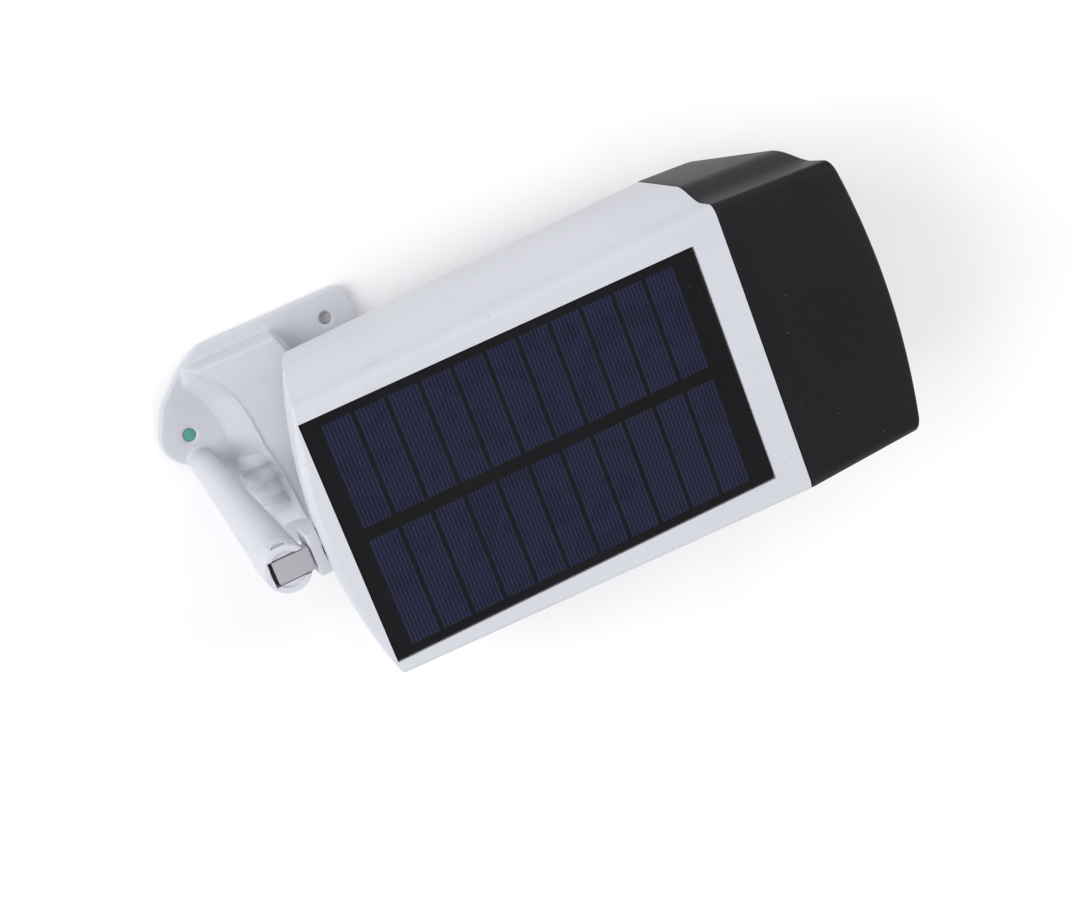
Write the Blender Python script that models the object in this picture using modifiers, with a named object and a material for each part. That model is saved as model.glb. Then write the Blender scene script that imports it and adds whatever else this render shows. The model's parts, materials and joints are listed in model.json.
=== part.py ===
"""Solar security camera on a pan and tilt wall bracket, as separate pieces.

Every piece is drawn about the pan axis: Z = 0 is the bracket's back face, +Z leaves the wall,
+X is where the lens looks with both joints at rest, and the pan axis is the local Z axis.
"""
import bpy
import bmesh
from math import cos, sin, pi, radians, sqrt
from mathutils import Vector

MM = 0.001

# ---------------------------------------------------------------- driving sizes
GAP = 0.3 * MM                     # clearance between pieces that touch

# frame: from the bracket's reference point to the pan axis
PAN_AXIS_X = -24 * MM
PAN_AXIS_Y = -20 * MM

# housing, the outer shape shared by the two casing shells and the hood
WALL_CLEARANCE = 15 * MM           # from the wall face to the housing's underside
HOUSING_HEIGHT = 60 * MM
HOUSING_TOP = WALL_CLEARANCE + HOUSING_HEIGHT
HOUSING_REAR = 10.1 * MM           # rear wall at its middle, at the top face
CASING_LENGTH = 130.8 * MM         # from there to the hood
HOOD_LENGTH = 40.3 * MM            # at the middle of its front edge
REAR_HALF_WIDTH = 35.5 * MM
FRONT_HALF_WIDTH = 39.5 * MM
HOOD_HALF_WIDTH = 37.5 * MM
WALL = 2.6 * MM
HOOD_WALL = 2.4 * MM
EDGE_ROUND = 3.4 * MM              # long radius of the rounded top edge
EDGE_DROP = 2.5 * MM               # short radius of the same edge
UPPER_SWELL = 2.9 * MM             # side wall's offset above the shoulder
LOWER_SWELL = 7.0 * MM             # and below it
SHOULDER_START = 8 * MM            # depths between which the side wall steps out
SHOULDER_END = 22 * MM
BOTTOM_RADIUS = 9 * MM
REAR_ARC_RADIUS = 120.6 * MM
HOOD_ARC_RADIUS = 208 * MM
SEAM_DEPTH = 32 * MM               # where the casing splits, under the top face

# solar panel in the top face
PANEL_LENGTH = 115 * MM
PANEL_WIDTH = 68.4 * MM
PANEL_THICKNESS = 2.2 * MM
PANEL_REAR = 16.4 * MM
PANEL_SINK = 0.4 * MM              # glass face below the rim
PAD_THICKNESS = 0.8 * MM
TRAY_WALL = 2.4 * MM

# pan and tilt joint
TILT_DROP = 6.8 * MM               # from the top face down to the tilt pin
TILT_HEIGHT = HOUSING_TOP - TILT_DROP
HEAD_RADIUS = 6.5 * MM
HEAD_TOP = TILT_HEIGHT + 2.3 * MM
HEAD_BOTTOM = TILT_HEIGHT - 7.7 * MM
HEAD_DISH_RADIUS = 4.9 * MM
HEAD_DISH_DEPTH = 0.7 * MM
STEM_RADIUS = 4.0 * MM
STEM_LENGTH = 12 * MM
GROOVE_DEPTH = 0.6 * MM
TONGUE_WIDTH = 6.4 * MM
TONGUE_THICKNESS = 4.4 * MM
TONGUE_TAIL = 3.5 * MM
TAIL_SWEEP = 4.6 * MM              # room below the tilt pin for the turning tail
TONGUE_ROOT = 3.8 * MM             # how far the tongue's thick root reaches below the tilt pin
TONGUE_ROOT_START = 2.6 * MM       # where it starts, ahead of the pin
TIE_SCREW_DROP = 1.9 * MM          # the screw in its end, below the pin
TILT_PIN_RADIUS = 1.0 * MM
TILT_HEAD_RADIUS = 1.6 * MM
TILT_HEAD_HEIGHT = 0.9 * MM
FLANGE_REAR = 7.2 * MM
FLANGE_WIDTH = 11.8 * MM
FLANGE_TOP = TILT_HEIGHT + 1.8 * MM
FLANGE_BOTTOM = TILT_HEIGHT - 11 * MM
LOCK_SCREW_HEIGHT = HEAD_BOTTOM - 6 * MM
LOCK_SCREW_RADIUS = 1.0 * MM

# wall bracket
PLATE_THICKNESS = 3 * MM
PEDESTAL_HEIGHT = 13 * MM
SCREW_HOLE_RADIUS = 1.9 * MM
LOBE_RADIUS = 8.5 * MM
LOBE_HOLE = (-3.3 * MM, 28.2 * MM)
FAR_HOLE = (45.4 * MM, 43.1 * MM)
NEAR_HOLE = (46 * MM, -6 * MM)
POCKET_WALL = 2.4 * MM
KNUCKLE_PLACE = (11.0 * MM, 17.4 * MM, 6.6 * MM)   # ribbed knuckle between horn and pedestal
KNUCKLE_RADIUS = 6.2 * MM
RIB_COUNT = 4
RIB_PITCH = 4.6 * MM
RIB_HEIGHT = 1.7 * MM
POCKET_ROOF = 2.4 * MM
MIDDLE_RIB = 4 * MM

# casing fasteners
SCREW_RADIUS = 1.3 * MM
SCREW_HEAD_RADIUS = 2.5 * MM
SCREW_HEAD_HEIGHT = 1.8 * MM
BOSS_RADIUS = 3.6 * MM
SMALL_SCREW_RADIUS = 1.0 * MM      # screws of the main board and the bezel
SMALL_HEAD_RADIUS = 1.9 * MM
TIE_SCREW_RADIUS = 1.0 * MM
TIE_HEAD_RADIUS = 1.75 * MM
CASING_SCREW_Y = 30 * MM
CASING_HEAD_HEIGHT = 24 * MM       # screw head's seat over the casing's underside
CASING_SCREW_LENGTH = 20 * MM

# hood and bezel
SPIGOT_LENGTH = 5.5 * MM
SPIGOT_WALL = 1.8 * MM
HOOD_STEP = 4.7 * MM               # length of the thick ring inside the hood
BEZEL_THICKNESS = 3 * MM
LENS_WINDOW_RADIUS = 12.2 * MM
LENS_OPENING_RADIUS = 10 * MM
WINDOW_THICKNESS = 1.2 * MM
LIGHT_Y = 26 * MM
LIGHT_HEIGHT = 48 * MM
LIGHT_WIDTH = 16 * MM
LIGHT_LENGTH = 25 * MM
LIGHT_LEDGE = 1.5 * MM
DOME_RADIUS = 7 * MM
DOME_WALL = 0.8 * MM
DOME_FLANGE = 1.6 * MM
PIPE_RADIUS = 1.2 * MM
PIPE_Y = 15 * MM
BEZEL_SCREW_Y = 36 * MM
BEZEL_BOSS_RADIUS = 4 * MM

# camera module and boards
BOARD_THICKNESS = 1.6 * MM
BARREL_RADIUS = 7 * MM
BARREL_LENGTH = 22 * MM
BARREL_BORE = 5.2 * MM
MODULE_SIZE = 26 * MM
SENSOR_SIZE = 8 * MM
LED_SIZE = 3.5 * MM
LED_PITCH = 7.5 * MM
LED_COUNT = 3
MAIN_BOARD_LENGTH = 31 * MM
MAIN_BOARD_WIDTH = 50 * MM
MAIN_BOARD_HEIGHT = 25 * MM

# power
CELL_RADIUS = 9.2 * MM
CELL_LENGTH = 65 * MM
CELL_HEIGHT = 46 * MM
HOLDER_WALL = 1.6 * MM
CELL_WEB = 1.2 * MM                # holder wall between the cells
LEG_SIZE = 4 * MM

# sound, button and port in the underside
SPEAKER_X = 71 * MM
SPEAKER_RADIUS = 13 * MM
SPEAKER_DEPTH = 5 * MM
BUTTON_X = 116 * MM
BUTTON_RADIUS = 3.6 * MM
BUTTON_TRAVEL = 1.0 * MM
FLAP_REAR = 90 * MM
FLAP_LENGTH = 16 * MM
FLAP_WIDTH = 15 * MM
FLAP_THICKNESS = 1.8 * MM
FLAP_PIN_RADIUS = 0.6 * MM
FLAP_PIN_LENGTH = 1.2 * MM
PORT_LENGTH = 9 * MM
PORT_WIDTH = 10.6 * MM
PAD_HEIGHT = 2.2 * MM              # thicker floor round the port
LEAD_RADIUS = 0.7 * MM

# ---------------------------------------------------------------- sizes worked out from them
HOUSING_BOTTOM = HOUSING_TOP - HOUSING_HEIGHT
SEAM_HEIGHT = HOUSING_TOP - SEAM_DEPTH
HOOD_SEAM = HOUSING_REAR + CASING_LENGTH
HOOD_FRONT = HOOD_SEAM + HOOD_LENGTH
FLOOR_HEIGHT = HOUSING_BOTTOM + WALL
PANEL_TOP = HOUSING_TOP - PANEL_SINK
POCKET_FLOOR = PANEL_TOP - PANEL_THICKNESS - GAP - PAD_THICKNESS - GAP
TRAY_UNDERSIDE = POCKET_FLOOR - 2 * MM
STEM_BOTTOM = HEAD_BOTTOM - STEM_LENGTH
DOME_HEIGHT = FLOOR_HEIGHT + GAP + SPIGOT_WALL + DOME_RADIUS + DOME_FLANGE + 2 * GAP
BEZEL_SCREW_HEIGHT = HOUSING_BOTTOM + 8 * MM
LENS_HEIGHT = DOME_HEIGHT + DOME_RADIUS + LENS_WINDOW_RADIUS + 3 * MM
BEZEL_REAR = HOOD_SEAM + HOOD_STEP + 2 * GAP
BEZEL_FRONT = BEZEL_REAR + BEZEL_THICKNESS
LED_BOARD_REAR = BEZEL_REAR - 5 * MM
LED_BOARD_FRONT = LED_BOARD_REAR + BOARD_THICKNESS
BARREL_FRONT = BEZEL_REAR - GAP
BARREL_REAR = BARREL_FRONT - BARREL_LENGTH

PIVOTS = {"bracket": Vector((0, 0, 0)), "swivel": Vector((0, 0, HEAD_BOTTOM)),
          "camera": Vector((0, 0, TILT_HEIGHT)),
          "button": Vector((BUTTON_X, 0, HOUSING_BOTTOM)),
          "flap": Vector((FLAP_REAR + FLAP_THICKNESS / 2, 0,
                          HOUSING_BOTTOM + GAP + FLAP_THICKNESS / 2))}
PIVOT_PARENTS = {"swivel": "bracket", "camera": "swivel", "button": "camera", "flap": "camera"}

# ---------------------------------------------------------------- scene, materials and bodies
for old in list(bpy.data.objects):
    bpy.data.objects.remove(old)

parts = bpy.data.collections.new("solar_security_camera")
cutters = bpy.data.collections.new("cutters")
bpy.context.scene.collection.children.link(parts)
bpy.context.scene.collection.children.link(cutters)


def finish(name, colour, roughness, metallic=0.0):
    """A Principled material of one colour."""
    made = bpy.data.materials.new(name)
    made.use_nodes = True
    shader = made.node_tree.nodes["Principled BSDF"]
    shader.inputs["Base Color"].default_value = (*colour, 1.0)
    shader.inputs["Roughness"].default_value = roughness
    shader.inputs["Metallic"].default_value = metallic
    return made


WHITE = finish("white_plastic", (0.68, 0.69, 0.75), 0.38)
BLACK = finish("black_plastic", (0.022, 0.022, 0.026), 0.35)
GREY = finish("grey_plastic", (0.43, 0.41, 0.46), 0.45)
PANEL = finish("solar_cells", (0.02, 0.02, 0.07), 0.25)
TEAL = finish("teal_plastic", (0.10, 0.38, 0.32), 0.5)
STEEL = finish("steel", (0.6, 0.6, 0.62), 0.3, 1.0)
RUBBER = finish("black_rubber", (0.03, 0.03, 0.03), 0.8)
GLASS = finish("clear_glass", (0.02, 0.02, 0.03), 0.05)
FROSTED = finish("frosted_plastic", (0.8, 0.8, 0.78), 0.5)
BOARD = finish("circuit_board", (0.02, 0.16, 0.07), 0.5)
CELL = finish("battery_sleeve", (0.05, 0.2, 0.5), 0.4)
LENS_METAL = finish("lens_metal", (0.05, 0.05, 0.05), 0.4, 0.6)
LIGHT = finish("led_phosphor", (0.85, 0.65, 0.1), 0.4)
WIRE = finish("wire_insulation", (0.6, 0.04, 0.03), 0.5)

bodies = {}
for body, pivot in PIVOTS.items():
    empty = bpy.data.objects.new(f"{body}_pivot", None)
    parts.objects.link(empty)
    parent = PIVOT_PARENTS.get(body)
    if parent:
        empty.parent = bodies[parent]
        empty.location = pivot - PIVOTS[parent]
    else:
        empty.location = pivot + Vector((PAN_AXIS_X, PAN_AXIS_Y, 0))
    bodies[body] = empty


def add(name, mesh, body, place=(0, 0, 0), material=None):
    """One object on a body; place is where its mesh's own origin stands about the pan axis."""
    made = bpy.data.objects.new(name, mesh)
    made.parent = bodies[body]
    made.location = Vector(place) - PIVOTS[body]
    if material:
        mesh.materials.clear()
        mesh.materials.append(material)
        parts.objects.link(made)
    else:
        made.hide_render = True
        made.display_type = "WIRE"
        cutters.objects.link(made)
    return made


def boolean(target, operation, *tools):
    """Cut, join or intersect the target with each tool."""
    for tool in tools:
        step = target.modifiers.new(f"{operation.lower()}_{tool.name}", "BOOLEAN")
        step.operation = operation
        step.object = tool
        step.solver = "EXACT"
    return target


def cut(target, *tools):
    return boolean(target, "DIFFERENCE", *tools)


def join(target, *tools):
    return boolean(target, "UNION", *tools)


# ---------------------------------------------------------------- shapes
def mesh_from(name, shape):
    mesh = bpy.data.meshes.new(name)
    shape.to_mesh(mesh)
    shape.free()
    return mesh


def smooth(mesh, angle=35):
    mesh.shade_smooth()
    mesh.set_sharp_from_angle(angle=radians(angle))
    return mesh


def block(name, low, high, body, material=None, bevel=0.0):
    """A box between two corners, with every edge chamfered by bevel."""
    low, high = Vector(low), Vector(high)
    shape = bmesh.new()
    bmesh.ops.create_cube(shape, size=1.0)
    bmesh.ops.scale(shape, vec=high - low, verts=shape.verts)
    if bevel:
        bmesh.ops.bevel(shape, geom=list(shape.edges), offset=bevel, segments=1, affect="EDGES")
    return add(name, mesh_from(name, shape), body, (low + high) / 2, material)


def rod(name, radius, start, end, body, material=None, sides=20, tip=None):
    """A cylinder from start to end, or a cone when the end has another radius."""
    start, end = Vector(start), Vector(end)
    shape = bmesh.new()
    bmesh.ops.create_cone(shape, cap_ends=True, segments=sides, radius1=radius,
                          radius2=radius if tip is None else tip, depth=(end - start).length)
    turn = Vector((0, 0, 1)).rotation_difference(end - start).to_matrix()
    bmesh.ops.rotate(shape, matrix=turn, verts=shape.verts)
    return add(name, smooth(mesh_from(name, shape)), body, (start + end) / 2, material)


def turned(name, profile, body, place, axis="Z", material=None, steps=24):
    """Profile of (radius, height) pairs, top to bottom, turned once about its axis.

    Height runs along +Z, or along +X or -Y when the axis says so.
    """
    mesh = bpy.data.meshes.new(name)
    points = [(radius, 0.0, height) for radius, height in profile]
    mesh.from_pydata(points, [(i, i + 1) for i in range(len(points) - 1)], [])
    made = add(name, mesh, body, place, material)
    made.rotation_euler = {"Z": (0, 0, 0), "X": (0, pi / 2, 0), "-Y": (pi / 2, 0, 0)}[axis]
    screw = made.modifiers.new("turn", "SCREW")
    screw.steps = screw.render_steps = steps
    screw.use_merge_vertices = True
    screw.merge_threshold = 0.00001
    screw.use_smooth_shade = True
    return made


def prism(name, outline, low, high, body, material=None):
    """A flat outline of (x, y) points, filled and extruded between two heights."""
    curve = bpy.data.curves.new(name, "CURVE")
    curve.dimensions = "2D"
    curve.fill_mode = "BOTH"
    curve.extrude = (high - low) / 2
    spline = curve.splines.new("POLY")
    spline.points.add(len(outline) - 1)
    for point, (x, y) in zip(spline.points, outline):
        point.co = (x, y, 0, 1)
    spline.use_cyclic_u = True
    drawn = bpy.data.objects.new(name + "_outline", curve)
    cutters.objects.link(drawn)
    graph = bpy.context.evaluated_depsgraph_get()
    mesh = bpy.data.meshes.new_from_object(drawn.evaluated_get(graph))
    bpy.data.objects.remove(drawn)
    shape = bmesh.new()
    shape.from_mesh(mesh)
    bpy.data.meshes.remove(mesh)
    bmesh.ops.remove_doubles(shape, verts=shape.verts, dist=0.00001)
    bmesh.ops.recalc_face_normals(shape, faces=shape.faces)
    return add(name, mesh_from(name, shape), body, (0, 0, (low + high) / 2), material)


def loft(name, rings, body, material=None):
    """A closed skin over rings of equal point counts, with flat ends."""
    shape = bmesh.new()
    rows = [[shape.verts.new(point) for point in ring] for ring in rings]
    count = len(rows[0])
    for lower, upper in zip(rows, rows[1:]):
        for i in range(count):
            j = (i + 1) % count
            shape.faces.new((lower[i], lower[j], upper[j], upper[i]))
    shape.faces.new(list(reversed(rows[0])))
    shape.faces.new(rows[-1])
    bmesh.ops.recalc_face_normals(shape, faces=shape.faces)
    return add(name, smooth(mesh_from(name, shape), 25), body, (0, 0, 0), material)


def lead(name, points, radius, body, material):
    """A round wire through the points, with closed ends."""
    curve = bpy.data.curves.new(name, "CURVE")
    curve.dimensions = "3D"
    curve.bevel_depth = radius
    curve.bevel_resolution = 1
    curve.use_fill_caps = True
    spline = curve.splines.new("POLY")
    path = smooth_path(points, 3)
    spline.points.add(len(path) - 1)
    for point, place in zip(spline.points, path):
        point.co = (*(place - PIVOTS[body]), 1)
    made = bpy.data.objects.new(name, curve)
    made.parent = bodies[body]
    curve.materials.append(material)
    parts.objects.link(made)
    return made


def smooth_path(points, between):
    """Catmull-Rom curve through the points, with some steps between each two."""
    points = [Vector(point) for point in points]
    ends = [2 * points[0] - points[1], *points, 2 * points[-1] - points[-2]]
    path = []
    for a, b, c, d in zip(ends, ends[1:], ends[2:], ends[3:]):
        for step in range(between):
            t = step / between
            path.append(0.5 * (2 * b + (c - a) * t + (2 * a - 5 * b + 4 * c - d) * t ** 2
                               + (3 * b - a - 3 * c + d) * t ** 3))
    return path + [points[-1]]


def arc(centre, radius, start, end, steps):
    """Points (x, y) along an arc between two angles in degrees."""
    return [(centre[0] + radius * cos(radians(start + (end - start) * i / steps)),
             centre[1] + radius * sin(radians(start + (end - start) * i / steps)))
            for i in range(steps + 1)]


# ---------------------------------------------------------------- the housing's outer shape
def casing_half_width(x):
    """Half the top face's width, which grows evenly from the rear wall to the hood."""
    along = (x - HOUSING_REAR) / CASING_LENGTH
    return REAR_HALF_WIDTH + (FRONT_HALF_WIDTH - REAR_HALF_WIDTH) * along


def hood_half_width(x):
    """Half the hood's width, which shrinks evenly to its front edge."""
    along = (x - HOOD_SEAM) / HOOD_LENGTH
    return FRONT_HALF_WIDTH + (HOOD_HALF_WIDTH - FRONT_HALF_WIDTH) * along


def side_swell(depth):
    """How far the side wall stands outside the top edge: a half cosine over the shoulder."""
    t = min(max((depth - SHOULDER_START) / (SHOULDER_END - SHOULDER_START), 0), 1)
    return UPPER_SWELL + (LOWER_SWELL - UPPER_SWELL) * (1 - cos(pi * t)) / 2


def section(x, half_width, inset=0.0):
    """The housing's cross-section at x, moved in by inset: rounded top edge, stepped side, bottom."""
    side = half_width - inset
    top = HOUSING_TOP - inset
    half = [(side + UPPER_SWELL - EDGE_ROUND * (1 - sin(a)), top - EDGE_DROP * (1 - cos(a)))
            for a in (0, pi / 6, pi / 3, pi / 2)]
    for step in range(5):
        depth = SHOULDER_START + (SHOULDER_END - SHOULDER_START) * step / 4
        half.append((side + side_swell(depth), HOUSING_TOP - depth))
    centre = (half_width + LOWER_SWELL - BOTTOM_RADIUS, HOUSING_BOTTOM + BOTTOM_RADIUS)
    half += arc(centre, BOTTOM_RADIUS - inset, 0, -90, 4)
    return [(x, y, z) for y, z in half] + [(x, -y, z) for y, z in reversed(half)]


def casing_block(name, start, end, inset=0.0, material=None):
    rings = [section(x, casing_half_width(x), inset) for x in (start, end)]
    return loft(name, rings, "camera", material)


def hood_block(name, start, end, inset=0.0, material=None):
    rings = [section(x, hood_half_width(x), inset) for x in (start, end)]
    return loft(name, rings, "camera", material)


def rear_wall(y, height):
    """X of the rear wall: an arc across the camera that leans forward going down."""
    depth = (HOUSING_TOP - height) / MM
    lean = (0.08 * depth + 0.0019 * max(depth, 0) ** 2) * MM
    return HOUSING_REAR + REAR_ARC_RADIUS - sqrt(REAR_ARC_RADIUS ** 2 - y ** 2) + lean


def hood_edge(y, height):
    """X of the hood's front edge: an arc across that falls back going down."""
    depth = (HOUSING_TOP - height) / MM
    lean = (0.147 * depth + 0.00366 * max(depth, 0) ** 2) * MM
    return HOOD_FRONT - HOOD_ARC_RADIUS + sqrt(HOOD_ARC_RADIUS ** 2 - y ** 2) - lean


def end_trim(name, surface, shift, away):
    """Everything beyond an end surface, as slices from above the housing to below it."""
    reach = FRONT_HALF_WIDTH + 2 * LOWER_SWELL
    rings = []
    for step in range(9):
        height = HOUSING_TOP + 4 * MM - (HOUSING_HEIGHT + 8 * MM) * step / 8
        across = [reach * (i - 6) / 6 for i in range(13)]
        edge = [(surface(y, height) + shift, y, height) for y in across]
        rings.append(edge + [(away, reach, height), (away, -reach, height)])
    return loft(name, rings, "camera")


# ---------------------------------------------------------------- wall bracket
def build_bracket():
    """One moulding: plate, hollow pedestal, ribs and the horn that carries the swivel."""
    lobe_x, lobe_y = LOBE_HOLE
    outline = [(8.5 * MM, 50.7 * MM), (1.6 * MM, 46.9 * MM), (-7.4 * MM, 38.7 * MM),
               *arc(LOBE_HOLE, LOBE_RADIUS, 158, 245, 8),
               (-5.6 * MM, 15.7 * MM), (-3.4 * MM, 10 * MM), (1.2 * MM, 3 * MM), (5.5 * MM, -5 * MM),
               *arc((13 * MM, -9 * MM), 5 * MM, 190, 270, 4),
               *arc((51 * MM, -8 * MM), 6 * MM, -90, 0, 5), (57.5 * MM, 18 * MM),
               *arc((50.2 * MM, 47.2 * MM), 3.5 * MM, 8, 90, 5)]
    bracket = prism("wall_bracket", outline, 0, PLATE_THICKNESS, "bracket", WHITE)

    top = [(3.6, 46.0), (28.2, 46.0), (30.2, 39.9), (32, 22), (34, 5), (34.5, -6),
           (16.5, -6), (15.2, 10.7), (13.3, 19.2), (12.9, 27), (11.6, 34.4), (7.7, 40.9)]
    foot = [(2, 46.8), (29.5, 47.3), (32, 40.5), (34, 22), (36, 5), (36.5, -8),
            (9, -8), (6.5, 8), (4.5, 19), (4.5, 28), (2, 36), (-1.5, 42)]
    pedestal = loft("pedestal", pedestal_rings(foot, top), "bracket")
    join(bracket, pedestal)

    horn = loft("horn", horn_rings(), "bracket")
    join(bracket, horn)
    join(bracket, turned("ribbed_knuckle", knuckle_profile(), "bracket", KNUCKLE_PLACE, "-Y", steps=16))

    rib_x = -PAN_AXIS_X
    pocket = loft("pedestal_pocket", pocket_rings(top), "bracket")
    cut(pocket, block("middle_rib", (rib_x - MIDDLE_RIB / 2, -30 * MM, -2 * MM),
                      (rib_x + MIDDLE_RIB / 2, 60 * MM, PEDESTAL_HEIGHT), "bracket"))
    cut(bracket, pocket)

    cut(bracket, rod("stem_bore", STEM_RADIUS + 0.1 * MM, (0, 0, STEM_BOTTOM - MM),
                     (0, 0, HEAD_BOTTOM + MM), "bracket", sides=24))
    cut(bracket, rod("lock_hole", LOCK_SCREW_RADIUS + GAP, (0, -2 * HEAD_RADIUS, LOCK_SCREW_HEIGHT),
                     (0, 0, LOCK_SCREW_HEIGHT), "bracket", sides=12))
    for i, (x, y) in enumerate((LOBE_HOLE, FAR_HOLE, NEAR_HOLE)):
        cut(bracket, rod(f"screw_hole_{i + 1}", SCREW_HOLE_RADIUS, (x, y, -MM),
                         (x, y, PLATE_THICKNESS + MM), "bracket"))
    rod("hole_plug", SCREW_HOLE_RADIUS - 0.1 * MM, (lobe_x, lobe_y, 0.4 * MM),
        (lobe_x, lobe_y, PLATE_THICKNESS - 0.4 * MM), "bracket", TEAL)


def pedestal_rings(foot, top):
    """Rings from foot to top; the side sweeps in quickly at first, which makes it concave."""
    low = PLATE_THICKNESS / 2
    rings = []
    for step in range(5):
        t = step / 4
        sweep = 1 - (1 - t) ** 2
        points = [Vector(a).lerp(Vector(b), sweep) * MM for a, b in zip(foot, top)]
        rings.append([(point.x, point.y, low + (PEDESTAL_HEIGHT - low) * t) for point in points])
    return rings


def knuckle_profile():
    """Rounded ribs side by side along the knuckle's axis, as (radius, distance) pairs."""
    profile = [(0, 0)]
    for rib in range(RIB_COUNT):
        for step in range(5):
            along = (rib + step / 5) * RIB_PITCH
            swell = RIB_HEIGHT * sin(pi * step / 5)
            profile.append((KNUCKLE_RADIUS - RIB_HEIGHT + swell, along))
    end = RIB_COUNT * RIB_PITCH
    return profile + [(KNUCKLE_RADIUS - RIB_HEIGHT, end), (0, end)]


def pocket_rings(top):
    """The hollow under the pedestal: its top outline moved in by a wall, straight down."""
    middle = Vector((22, 20))
    points = []
    for corner in top:
        inward = (middle - Vector(corner)).normalized() * POCKET_WALL * 1.2
        points.append(Vector(corner) * MM + inward)
    return [[(point.x, point.y, z) for point in points] for z in (-MM, PEDESTAL_HEIGHT - POCKET_ROOF)]


def horn_rings():
    """Round slices that grow along a leaning centre line and end upright under the swivel."""
    collar = (HEAD_BOTTOM - GAP) / MM
    spine = [(-3.2, 21, 0.8, 3.4), (-2.9, 18.6, 10, 3.9), (-2.3, 14.5, collar * 0.33, 4.4),
             (-1.5, 9.8, collar * 0.515, 5.0), (-0.7, 5.2, collar * 0.7, 5.7),
             (-0.1, 1.4, collar * 0.855, 6.2), (0, 0, collar - 3.7, 6.5),
             (0, 0, collar, HEAD_RADIUS / MM)]
    return [[((x + r * cos(a)) * MM, (y + r * sin(a)) * MM, z * MM)
             for a in (2 * pi * i / 20 for i in range(20))] for x, y, z, r in spine]


# ---------------------------------------------------------------- pan and tilt joint
def build_swivel():
    """The head that pans in the horn, and the screw and nut of the tilt joint."""
    stem = STEM_RADIUS
    groove_low, groove_high = LOCK_SCREW_HEIGHT - 1.6 * MM, LOCK_SCREW_HEIGHT + 1.6 * MM
    profile = [(0, HEAD_TOP - HEAD_DISH_DEPTH), (HEAD_DISH_RADIUS, HEAD_TOP - HEAD_DISH_DEPTH),
               (HEAD_DISH_RADIUS, HEAD_TOP), (HEAD_RADIUS - 0.4 * MM, HEAD_TOP),
               (HEAD_RADIUS, HEAD_TOP - 0.4 * MM), (HEAD_RADIUS, HEAD_BOTTOM), (stem, HEAD_BOTTOM),
               (stem, groove_high), (stem - GROOVE_DEPTH, groove_high),
               (stem - GROOVE_DEPTH, groove_low), (stem, groove_low), (stem, STEM_BOTTOM),
               (0, STEM_BOTTOM)]
    head = turned("swivel_head", profile, "swivel", (0, 0, 0), material=WHITE, steps=32)
    slot = TONGUE_WIDTH / 2 + GAP
    cut(head, block("tongue_slot", (-TONGUE_TAIL - 1.1 * MM, -slot, TILT_HEIGHT - TAIL_SWEEP),
                    (HEAD_RADIUS + MM, slot, HEAD_TOP + MM), "swivel"))
    across = HEAD_RADIUS + MM
    cut(head, rod("tilt_bore", TILT_PIN_RADIUS + 0.1 * MM, (0, across, TILT_HEIGHT),
                  (0, -across, TILT_HEIGHT), "swivel", sides=16))
    seat = HEAD_RADIUS - TILT_HEAD_HEIGHT - GAP
    for side, name in ((1, "screw_seat"), (-1, "nut_seat")):
        cut(head, rod(name, TILT_HEAD_RADIUS + GAP, (0, side * seat, TILT_HEIGHT),
                      (0, side * across, TILT_HEIGHT), "swivel", sides=16))

    head_seat = seat + GAP / 3
    screw = rod("tilt_screw", TILT_HEAD_RADIUS, (0, head_seat, TILT_HEIGHT),
                (0, head_seat + TILT_HEAD_HEIGHT, TILT_HEIGHT), "swivel", STEEL, sides=16)
    join(screw, rod("tilt_shank", TILT_PIN_RADIUS, (0, head_seat + MM / 2, TILT_HEIGHT),
                    (0, -seat + 0.4 * MM, TILT_HEIGHT), "swivel", sides=16))
    cut(screw, block("tilt_screw_slot", (-2 * MM, head_seat + 0.5 * MM, TILT_HEIGHT - 0.2 * MM),
                     (2 * MM, across, TILT_HEIGHT + 0.2 * MM), "swivel"))
    rod("tilt_nut", TILT_HEAD_RADIUS, (0, -head_seat, TILT_HEIGHT),
        (0, -head_seat - TILT_HEAD_HEIGHT, TILT_HEIGHT), "swivel", STEEL, sides=6)

    tip = STEM_RADIUS - GROOVE_DEPTH + GAP
    horn = HEAD_RADIUS - 0.1 * MM
    screw = rod("pan_lock_screw", LOCK_SCREW_RADIUS, (0, -tip, LOCK_SCREW_HEIGHT),
                (0, -horn - 0.8 * MM, LOCK_SCREW_HEIGHT), "bracket", STEEL, sides=12)
    join(screw, rod("pan_lock_head", 1.7 * LOCK_SCREW_RADIUS, (0, -horn - GAP, LOCK_SCREW_HEIGHT),
                    (0, -horn - 1.4 * MM, LOCK_SCREW_HEIGHT), "bracket", sides=12))


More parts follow.
